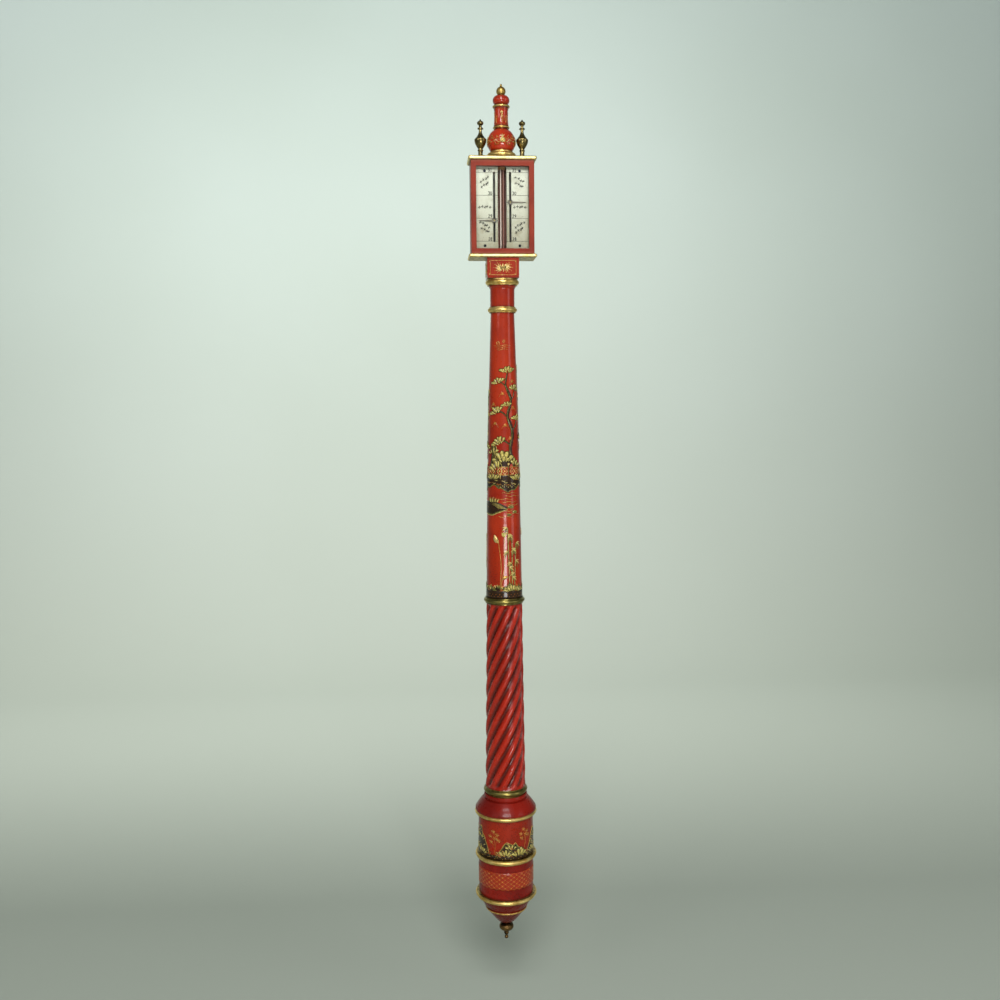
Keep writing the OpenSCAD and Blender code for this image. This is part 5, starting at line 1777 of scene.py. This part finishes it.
            rim = [(x - size * 0.7, z), (x, z + size * 0.36), (x + size * 0.7, z)]
            brush.stroke(Pot.PALE_GOLD, rim, 0.4, 3)

    def bamboo(self, u: float, top: float, foot: float) -> None:
        """Jointed canes with hanging leaves and bushes at their foot.

        Args:
            u: place of the middle cane.
            top: drop of the tips.
            foot: drop of the roots.
        """
        brush = self.brush
        fan = ((24, Pot.OLIVE), (56, Pot.CREAM), (92, Pot.PALE_GOLD))
        for cane in range(3):
            x, lean, first = u + (cane - 1) * 3.0, (cane - 1) * 2.4, top + 9 * cane
            way = [(x, foot), (x + lean * 0.4, (first + foot) / 2), (x + lean, first)]
            line = smooth_line(self.down(way), 9)
            for a, b in zip(line[:-1], line[1:]):
                end = a * 0.06 + b * 0.94
                brush.stroke(Pot.OLIVE, [a, end], 1.3, 1, taper=0.1, steps=4)
                brush.stroke(Pot.PALE_GOLD, [a + [0.3, 0], end + [0.3, 0]], 0.4, 2, taper=0.1, steps=4)
                brush.stroke(Pot.INK, [b - [0.8, 0.2], b + [0.8, -0.2]], 0.5, 3, taper=0.1, steps=4)
            for k in range(3 - cane % 2, 10, 2):
                side = -1 if (k + cane) % 4 < 2 else 1
                joint = line[min(k, 8)]
                for n, (spread, paint) in enumerate(fan):
                    heading = -90 + side * (spread + brush.wobble(-7, 7))
                    brush.leaf(paint, *joint, heading, 9.0 - 1.4 * n, 1.5, 3 + n, side * 0.12, 0.7)
        brush.cloud(u - 2, self.at(foot), 8.5, 100, 170, 6, 6)
        brush.cloud(u + 6, self.at(foot), 6.5, 70, 150, 5, 6)

    def lotus(self, u: float, foot: float, top: float) -> None:
        """A gold lotus: one veined leaf, a flower and a small leaf on thin stems.

        Args:
            u: place of its foot.
            foot: drop of its foot.
            top: drop of its leaf's stalk.
        """
        brush, low, high = self.brush, self.at(foot), self.at(top)
        middle = (low + high) / 2
        brush.stroke(Pot.GOLD, [(u, low), (u + 1, middle), (u - 2, high)], 0.6, 1, taper=0.1)
        brush.stroke(Pot.GOLD, [(u + 1, low), (u + 5, middle), (u + 5, high + 6)], 0.6, 1, taper=0.1)
        brush.leaf(Pot.PALE_GOLD, u - 2, high - 2, 118, 11, 5.6, 2)
        for k in range(5):
            vein = [(u - 2.4, high), (u - 2.6 - 0.5 * k, high + 6 - k)]
            brush.stroke(Pot.OLIVE, vein, 0.25, 3)
        for angle in (60, 78, 96, 114):
            brush.leaf(Pot.CREAM, u + 5, high + 5, angle, 6.4, 2.0, 2)
        brush.leaf(Pot.GOLD, u + 2, low + 8, 20, 8, 3.6, 2)

    def ground(self) -> None:
        """Gold hillocks with hatching over a dark band round the foot of the column."""
        brush, foot = self.brush, self.foot
        z = foot + 10
        brush.band(Pot.INK, foot + 0.2, z, 0)
        for k in range(13):
            x, rise = -54 + 9 * k, 6 + 4 * math.sin(k * 1.3)
            under = [(x - 1, z - 0.5), (x + 5, z - 0.5), (x + 11, z - 0.5)]
            over = [(x, z), (x + 5, z + rise), (x + 10, z)]
            brush.area(Pot.FADED if k % 2 else Pot.OLIVE, under, over, 1)
            for j in range(4):
                hatch = [(x + 2 + 1.6 * j, z + 0.5), (x + 3 + 1.4 * j, z + rise * 0.6)]
                brush.stroke(Pot.UMBER, hatch, 0.35, 2)
            brush.foliage(x + 9, z + 2, 7, 6, Pot.CREAM, 10, 3.2, 2)
            for j in range(4):
                brush.dab(Pot.FADED, x + 2.2 * j, foot + 3 + 2.4 * (j % 2), 0.9, 0.7, 1)

    def flank(self, u: float, drop: float) -> None:
        """Lesser scenery on a side of the column, from the middle down.

        Args:
            u: place of its middle.
            drop: drop of its top.
        """
        brush, side = self.brush, math.copysign(1, u)
        self.bamboo(u * 0.82, drop, drop + 84)
        brush.foliage(u - 4 * side, self.at(drop + 92), 13, 11, Pot.CREAM, 22, 4.5, 0)
        brush.foliage(u + 6 * side, self.at(drop + 98), 11, 9, Pot.PALE_GOLD, 18, 4.0, 0)
        z = self.at(drop + 116)
        crest = [(u - 12, z - 2), (u, z + 8), (u + 12, z - 2)]
        brush.area(Pot.INK, [(u - 12, z - 8), (u, z - 11), (u + 12, z - 8)], crest, 0)
        brush.stroke(Pot.GOLD, crest, 0.6, 1)
        for k in range(6):
            x, y = u + 2 * k, z - 4 * k
            brush.stroke(Pot.GOLD, [(x - 14, y - 16), (x - 4, y - 15), (x + 6, y - 17)], 0.5, 1)
        self.lotus(u, drop + 226, drop + 196)


@dataclass
class TwistColumn:
    """The column carved with spiral reeds, finer than its plain solid.

    Its radius is the tapering edge less the hollow's depth times one minus the cosine of the
    reed's angle, halved and raised to a power, and the whole section turns with height.
    """

    reeds: int = 10
    pitch: float = 240.0
    top_d: float = 42.7
    foot_d: float = 48.3
    reed_depth: float = 3.4
    run_out: float = 0.02
    sharpness: float = 1.3
    inset: float = 0.2
    bore_d: float = 9.0
    around: int = 240
    rings: int = 190

    def build(self) -> None:
        """Carves the column, sets it in place and dresses the ring under it."""
        ring = Extent.of("twist_ring")
        foot, height = ring.top, Extent.of("middle_ring").foot - ring.top
        share = np.linspace(0, 1, self.rings)[:, None]
        along = np.linspace(0, FULL_TURN, self.around, endpoint=False)[None, :]
        edge = (self.foot_d + (self.top_d - self.foot_d) * share) / 2 - self.inset
        fade = np.minimum(1, np.minimum(share, 1 - share) / self.run_out)
        hollow = fade * ((1 - np.cos(self.reeds * along)) / 2) ** self.sharpness
        angle = along + share * height * FULL_TURN / self.pitch
        bore = np.full((2, self.around), self.bore_d / 2)
        radius = np.vstack([edge - self.reed_depth * hollow, bore])
        angle = np.vstack([angle, angle[-1:], angle[:1]])
        level = foot + height * np.vstack([share, [[1.0]], [[0.0]]]) + 0 * along
        axis = (Extent.of("twist_column").middle[0], ring.middle[1])
        faces = grid_faces(*radius.shape, closed_rows=True, closed_columns=True)
        piece = new_mesh("twist_column_carved", about(axis, radius, angle, level), faces, 50)
        # Depth of the hollow at each point, which the finish reads to paint shade into the hollows
        depth = piece.data.attributes.new(CARVED_RED.hollows, "FLOAT", "POINT")
        depth.data.foreach_set("value", np.vstack([hollow, 0 * bore]).ravel())
        weld(piece)
        adopt(piece, CARVED_RED, CASE, "twist_column")
        dress(OLD_BRASS, "twist_ring")


@dataclass
class Drums:
    """Shoulder, two drums and bowl, with a landscape, a lattice band and gold lines."""

    lattice_low: float = 12.5
    lattice_h: float = 21.0
    diamonds: int = 30
    rows: int = 4
    bead_low: float = 18.9
    bead_h: float = 1.6
    dots: int = 64

    def build(self) -> None:
        """Dresses the turned pieces and paints the drums."""
        dress(CRIMSON, "shoulder", "lower_drum")
        dress(BOWL_RED, "base_bowl")
        dress(DRUM_RED, "upper_drum")
        dress(LEAF, "shoulder_ring", "drum_ring", "base_ring")
        self.landscape()
        self.lattice()
        self.bowl_line()

    def landscape(self) -> None:
        """Dark hills and gold trees round the upper drum, over a dark band with gold dots and grass."""
        foot, top = Extent.of("drum_ring").top, Extent.of("shoulder_ring").foot
        brush = self.brush = Brush(TurnedSurface("upper_drum", foot, top), 51)
        brush.band(Pot.INK, foot + 0.2, foot + 5.5, 1)
        hills = ((-43, 20, 33, 1), (6, 21, 19, -1), (44, 19, 31, -1), (76, 20, 22, 1), (-82, 22, 27, -1))
        for hill in hills:
            self.hill(foot, *hill)
        for u, rise, height in ((-17.0, 6, 30), (21.0, 13, 24), (60.0, 8, 28), (-62.0, 8, 28)):
            self.gold_tree(u, foot + rise, height)
        rim = math.pi * float(brush.surface.radius(foot + 5))
        for k in range(self.dots):
            u = -rim + 2 * rim * k / self.dots
            brush.dab(Pot.GOLD, u, foot + 1.6 + 1.4 * (k % 3), 0.9, 0.9, 3)
            if k % 2:
                blade = [(u, foot + 6), (u + 1.5, foot + 7 + brush.wobble(0, 2))]
                brush.stroke(Pot.GOLD, blade, 0.45, 3)
        brush.finish("upper_drum_landscape")

    def hill(self, foot: float, u: float, half: float, height: float, lean: int) -> None:
        """A dark hill with a gold ridge, hatched slopes and three bushes.

        Its slope falls evenly from a crest beside the middle, with ledges that fade to the edges.

        Args:
            foot: height of the drum's foot.
            u: place of its middle.
            half: half of its width.
            height: height of its crest.
            lean: side of the crest, one for the right and minus one for the left.
        """
        brush = self.brush
        x = np.linspace(u - half, u + half, 15)
        share = (x - u) / half
        off = share - 0.25 * lean
        slope = 1 - np.abs(off) / (1 - 0.25 * lean * np.sign(off))
        ledges = 2.4 * np.sin(9 * share + u) + 1.6 * np.sin(21 * share + 2 * u)
        z = foot + 4 + height * slope**0.8 + ledges * np.sin(np.pi * (share + 1) / 2)
        ridge = np.stack([x, z], axis=1)
        brush.area(Pot.INK, [(a, foot + 3) for a in x], ridge, 1, 24)
        brush.stroke(Pot.OLIVE, ridge - [0, 0.8], 1.2, 2, taper=0.3)
        brush.stroke(Pot.GOLD, ridge + [0, 0.4], 0.5, 2, taper=0.3)
        paints = (Pot.OLIVE, Pot.GOLD, Pot.UMBER, Pot.CREAM, Pot.OLIVE, Pot.FADED)
        for k in range(52):
            w = u + half * brush.wobble(-0.9, 0.9)
            y = foot + 5 + (float(np.interp(w, x, z)) - foot - 6) * brush.wobble(0.05, 0.95)
            reach = brush.wobble(1.6, 4.2)
            tilt = reach * lean
            across = [(w - reach, y - 0.5 * tilt), (w, y + 0.3), (w + reach, y + 0.7 * tilt)]
            brush.stroke(paints[k % 6], across, 0.55 + 0.35 * (k % 2), 2)
        brush.cloud(u - 0.35 * half * lean, foot + 5, 10.5, 100 + 12 * lean, 150, 6, 3)
        brush.cloud(u + 0.4 * half * lean, foot + 5.5, 8.0, 80, 160, 5, 3)
        brush.cloud(u + 0.1 * half * lean, foot + 3 + height * 0.6, 6.5, 90, 170, 4, 3)

    def gold_tree(self, u: float, foot: float, height: float) -> None:
        """A loose gold tree: a forked stem with rounded tufts of leaves.

        Args:
            u: place of its foot.
            foot: height of its foot.
            height: its height.
        """
        stem = [(u, foot), (u + 1.6, foot + 0.4 * height), (u - 1, foot + 0.8 * height)]
        self.brush.stroke(Pot.FADED, stem, 0.7, 2)
        for x, share in ((-1, 0.95), (4, 0.82), (-5, 0.74), (6, 0.6), (-4, 0.52), (2, 0.68)):
            z = foot + share * height
            twig = [(u + 1, z - 0.16 * height), (u + x * 0.6, z - 0.05 * height), (u + x, z)]
            self.brush.stroke(Pot.FADED, twig, 0.45, 2)
            for k in range(7):
                heading = 51 * k + self.brush.wobble(-14, 14)
                self.brush.leaf(Pot.FADED if k % 3 else Pot.GOLD, u + x, z, heading, 2.8, 0.8, 3)

    def lattice(self) -> None:
        """A band of crossed gold lines with a small flower in each diamond, round the lower drum."""
        foot, top = Extent.of("base_ring").top, Extent.of("drum_ring").foot
        brush = Brush(TurnedSurface("lower_drum", foot, top), 52)
        low = foot + self.lattice_low
        high = low + self.lattice_h
        brush.band(Pot.RUSSET, low, high, 0)
        rim = 2 * math.pi * float(brush.surface.radius(low))
        step, rise = rim / self.diamonds, self.lattice_h / self.rows
        for k in range(self.diamonds):
            u = -rim / 2 + k * step
            for lean in (-1, 1):
                brush.rule(Pot.FADED, (u, low), (u + lean * step * self.rows, high), 0.25, 2, 24)
            for row in range(2 * self.rows - 1):
                x, z = u + (0.0 if row % 2 else 0.5) * step, low + (row + 1) * rise / 2
                size = min(step, rise) * (0.44 if (k + row) % 2 else 0.3)
                brush.blossom(Pot.FADED, Pot.GOLD, x, z, size, 4, 2, 45)
            brush.dab(Pot.FADED, u, low + 0.9, 0.8, 0.8, 2)
            brush.dab(Pot.FADED, u + step / 2, high - 0.9, 0.8, 0.8, 2)
        brush.finish("lower_drum_lattice")

    def bowl_line(self) -> None:
        """Gold on the bowl's bead."""
        foot, brim = Extent.of("base_bowl").foot, Extent.of("base_ring").foot
        brush = Brush(TurnedSurface("base_bowl", foot, brim), 53)
        low = foot + self.bead_low
        brush.band(Pot.GOLD, low, low + self.bead_h, 1, 0.3)
        brush.finish("bowl_line")


@dataclass
class Cistern:
    """Boxwood cup and lid, cork, mercury, the leather bag with its binding, pad, screw and knob."""

    pleats: int = 26
    pleat_depth: float = 0.35
    leather: float = 1.2
    collar: float = 4.0
    thread_turns: float = 3.2
    thread_r: float = 0.38
    screw_pitch: float = 2.0
    screw_r: float = 2.5
    stem_r: float = 1.8
    bevel: float = 0.3

    def build(self) -> None:
        """Dresses the hard pieces and makes the soft ones and the screw."""
        dress(BOX, "cistern_cup", "cistern_lid", "pressure_pad")
        dress(CORK, "cistern_cork")
        dress(QUICKSILVER, "mercury_pool")
        dress(KNOB_BRASS, "bottom_knob")
        self.bag()
        self.binding()
        self.screw()

    def dish(self, rim: float, foot: float, drop: float) -> Points:
        """Half outline of a shallow dish, which is part of a ball.

        Args:
            rim: radius of its rim.
            foot: height of its lowest point.
            drop: its depth.

        Returns:
            Radius and height pairs from the rim inward.
        """
        ball = (rim * rim + drop * drop) / (2 * drop)
        return [(r, foot + ball - math.sqrt(ball * ball - r * r)) for r in np.linspace(rim, 0, 22)]

    def bag(self) -> None:
        """A pleated bag: a collar, then a dish whose radius is gathered by a cosine round the rim."""
        bag = Extent.of("leather_bag")
        rim, foot, top = bag.radius / MM, bag.foot, bag.top
        inner, bed = rim - self.leather, foot + self.leather
        lip, hem = top - self.collar, top - self.collar / 2
        outline = [(rim, top), (rim, hem), *self.dish(rim, foot, lip - foot)]
        outline += [*self.dish(inner, bed, lip - bed)[::-1], (inner, hem), (inner, top), (rim, top)]
        radius, height = np.hsplit(np.array(outline), 2)
        angle = np.linspace(0, FULL_TURN, 208, endpoint=False)[None, :]
        wave = np.cos(self.pleats * angle)
        gather = self.pleat_depth * (radius / rim) ** 3 * np.clip((radius - 0.35 * rim) / rim, 0, 1)
        folded = radius - gather * (0.5 + 0.5 * wave)
        sunk = np.clip(height + 0.25 * gather * wave, foot, top)
        faces = grid_faces(*folded.shape, closed_columns=True)
        piece = new_mesh("leather_bag_pleated", about(bag.middle, folded, angle, sunk), faces, 70)
        weld(piece)
        adopt(piece, KID, CASE, "leather_bag")

    def binding(self) -> None:
        """Thread wound round the collar: a small circle carried along a helix, with rounded ends."""
        band = Extent.of("bag_binding")
        rim = band.radius / MM - self.thread_r - 0.03
        way = np.linspace(0, 1, 220)[:, None]
        around = np.linspace(0, FULL_TURN, 10, endpoint=False)[None, :]
        size = self.thread_r * np.sqrt(np.clip(np.minimum(way, 1 - way) * 120, 0, 1))
        centre = band.foot + self.thread_r + (band.top - band.foot - 2 * self.thread_r) * way
        radius, height = rim + size * np.cos(around), centre + size * np.sin(around)
        points = about(band.middle, radius, way * self.thread_turns * FULL_TURN, height)
        faces = grid_faces(*radius.shape, closed_columns=True)
        piece = new_mesh("bag_binding_thread", points, faces, 80)
        weld(piece)
        adopt(piece, LINEN, CASE, "bag_binding")

    def screw(self) -> None:
        """The portable screw: plain stem, thrust collar and left-handed thread."""
        screw = Extent.of("portable_screw")
        foot, top, widest = screw.foot, screw.top, screw.radius / MM
        low, high = self.collar_heights(screw)
        stem, thread, bevel = self.stem_r, self.screw_r, self.bevel
        half = [(0, foot), (stem - 0.2, foot), (stem, foot + bevel), (stem, low)]
        half += [(widest - bevel, low), (widest, low + bevel), (widest, high - bevel), (widest - bevel, high)]
        half += [(thread, high), (thread, top - 0.5), (thread - 0.5, top), (0, top)]
        cut = (high + 1, top, self.screw_pitch, 0.5, -1)
        piece = turned_mesh("portable_screw_threaded", rounded(half, 0.25), screw.middle, cut)
        adopt(piece, STEEL, "knob", "portable_screw")

    def collar_heights(self, screw: Extent) -> tuple[float, float]:
        """Lowest and highest point of the screw's collar, from the widest ring of its solid.

        Args:
            screw: the screw's extent.

        Returns:
            The two heights.
        """
        points = read_rows(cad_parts["portable_screw"].data.vertices, "co")
        radius = np.linalg.norm(points[:, :2] - screw.middle[:2], axis=1)
        wide = points[radius > screw.radius - 0.1 * MM, 2] / MM
        return float(wide.min()), float(wide.max())


@dataclass
class Studio:
    """Pale paper that sweeps up from the floor to a wall, soft lights and the camera.

    The paper and the lights are given in metres.
    """

    camera_from_axis: float = 1222.0
    camera_left: float = 91.6
    camera_height: float = -283.0
    pitch: float = 5.5
    yaw: float = 0.2
    roll: float = -0.4
    lens: float = 37.8
    wall: float = 2.6
    curve: float = 1.2
    reach: float = 4.5

    def build(self) -> None:
        """Makes the stage, the lights, the world and the camera."""
        self.sweep()
        self.lights()
        self.sky()
        self.camera()

    def sweep(self) -> None:
        """The paper as one grid: a floor, a quarter round and a wall."""
        turn, start = np.linspace(0, math.pi / 2, 24), self.wall - self.curve
        y = np.concatenate([[-self.reach, -2.0, 0.0, start], start + self.curve * np.sin(turn), [self.wall]])
        z = np.concatenate([[0, 0, 0, 0], self.curve - self.curve * np.cos(turn), [self.reach]]) + PAPER.floor
        x = np.array([[-self.reach, self.reach]])
        points = np.stack(np.broadcast_arrays(x, y[:, None], z[:, None]), axis=-1).reshape(-1, 3)
        piece = new_mesh("studio_sweep", points, grid_faces(len(y), 2), 40)
        piece.data.materials.append(PAPER.material("sweep"))

    def lamp(self, name: str, place: Corner, target: Corner, size: tuple[float, float], power: float) -> None:
        """A rectangular soft light.

        Args:
            name: the lamp's name.
            place: where it stands.
            target: where it points.
            size: width and height.
            power: watts.
        """
        light = bpy.data.lights.new(name, "AREA")
        light.shape = "RECTANGLE"
        light.size, light.size_y = size
        light.energy = power
        lamp = bpy.data.objects.new(name, light)
        bpy.context.scene.collection.objects.link(lamp)
        lamp.location = place
        lamp.rotation_euler = (Vector(target) - Vector(place)).to_track_quat("-Z", "Y").to_euler()
        lamp.visible_camera = False

    def lights(self) -> None:
        """Three lights one above another in front, one on each side, and a wash on the paper."""
        lamps = {
            "soft_light": ((-0.12, -1.9, 1.75), (0.0, 0.0, -0.25), (1.1, 0.35), 17),
            "window_light": ((0.16, -1.95, -0.72), (0.0, 0.0, -0.45), (0.62, 0.28), 11),
            "high_light": ((-0.02, -1.95, 0.72), (0.0, 0.0, -0.1), (1.1, 0.44), 25),
            "side_light": ((-1.6, -1.6, 0.42), (0.0, 0.0, -0.1), (0.9, 0.6), 5),
            "fill_light": ((2.3, -1.5, 0.1), (0.0, 0.0, -0.5), (0.9, 1.8), 9),
            "wash_light": ((-0.35, 0.5, 0.4), (-0.35, 2.6, 0.02), (2.8, 0.6), 46),
        }
        for name, settings in lamps.items():
            self.lamp(name, *settings)

    def sky(self) -> None:
        """A dim grey room."""
        world = bpy.data.worlds.new("studio_world")
        bpy.context.scene.world = world
        world.use_nodes = True
        room = Recipe(world.node_tree)
        glow = room.add("Background", {"Color": "#DFE8E4", "Strength": 0.2})
        room.add("OutputWorld", {"Surface": glow})

    def camera(self) -> None:
        """The camera, with the angle, height and roll that fit the photographed view."""
        data = bpy.data.cameras.new("studio_camera")
        data.lens = self.lens
        data.sensor_width = 36.0
        data.clip_start = 0.05
        camera = bpy.data.objects.new("studio_camera", data)
        bpy.context.scene.collection.objects.link(camera)
        away = math.sqrt(self.camera_from_axis**2 - self.camera_left**2)
        axis = Extent.of("lower_drum").middle[1]
        place = Vector((-self.camera_left * MM, axis - away * MM, self.camera_height * MM))
        heading = math.atan2(self.camera_left, away) - math.radians(self.yaw)
        down = math.radians(self.pitch)
        level = math.cos(down)
        ahead = Vector((math.sin(heading) * level, math.cos(heading) * level, -math.sin(down)))
        facing = ahead.to_track_quat("-Z", "Y").to_matrix().to_4x4()
        turned = Matrix.Rotation(math.radians(self.roll), 4, "Z")
        camera.matrix_world = Matrix.Translation(place) @ facing @ turned
        bpy.context.scene.camera = camera
        bpy.context.scene.view_settings.view_transform = "Standard"


def main() -> None:
    """Builds every sub-assembly in order."""
    logging.basicConfig(level=logging.INFO, format="%(message)s")
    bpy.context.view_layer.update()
    drives = [PointerDrive(side) for side in ("left", "right")]
    parts = [Studio(), Hanging(), CentreFinial(), Hood(), ScalePlates(), *drives, Tube(), NeckBlock()]
    for part in (*parts, Column(), TwistColumn(), Drums(), Cistern()):
        part.build()


if __name__ == "__main__":
    main()
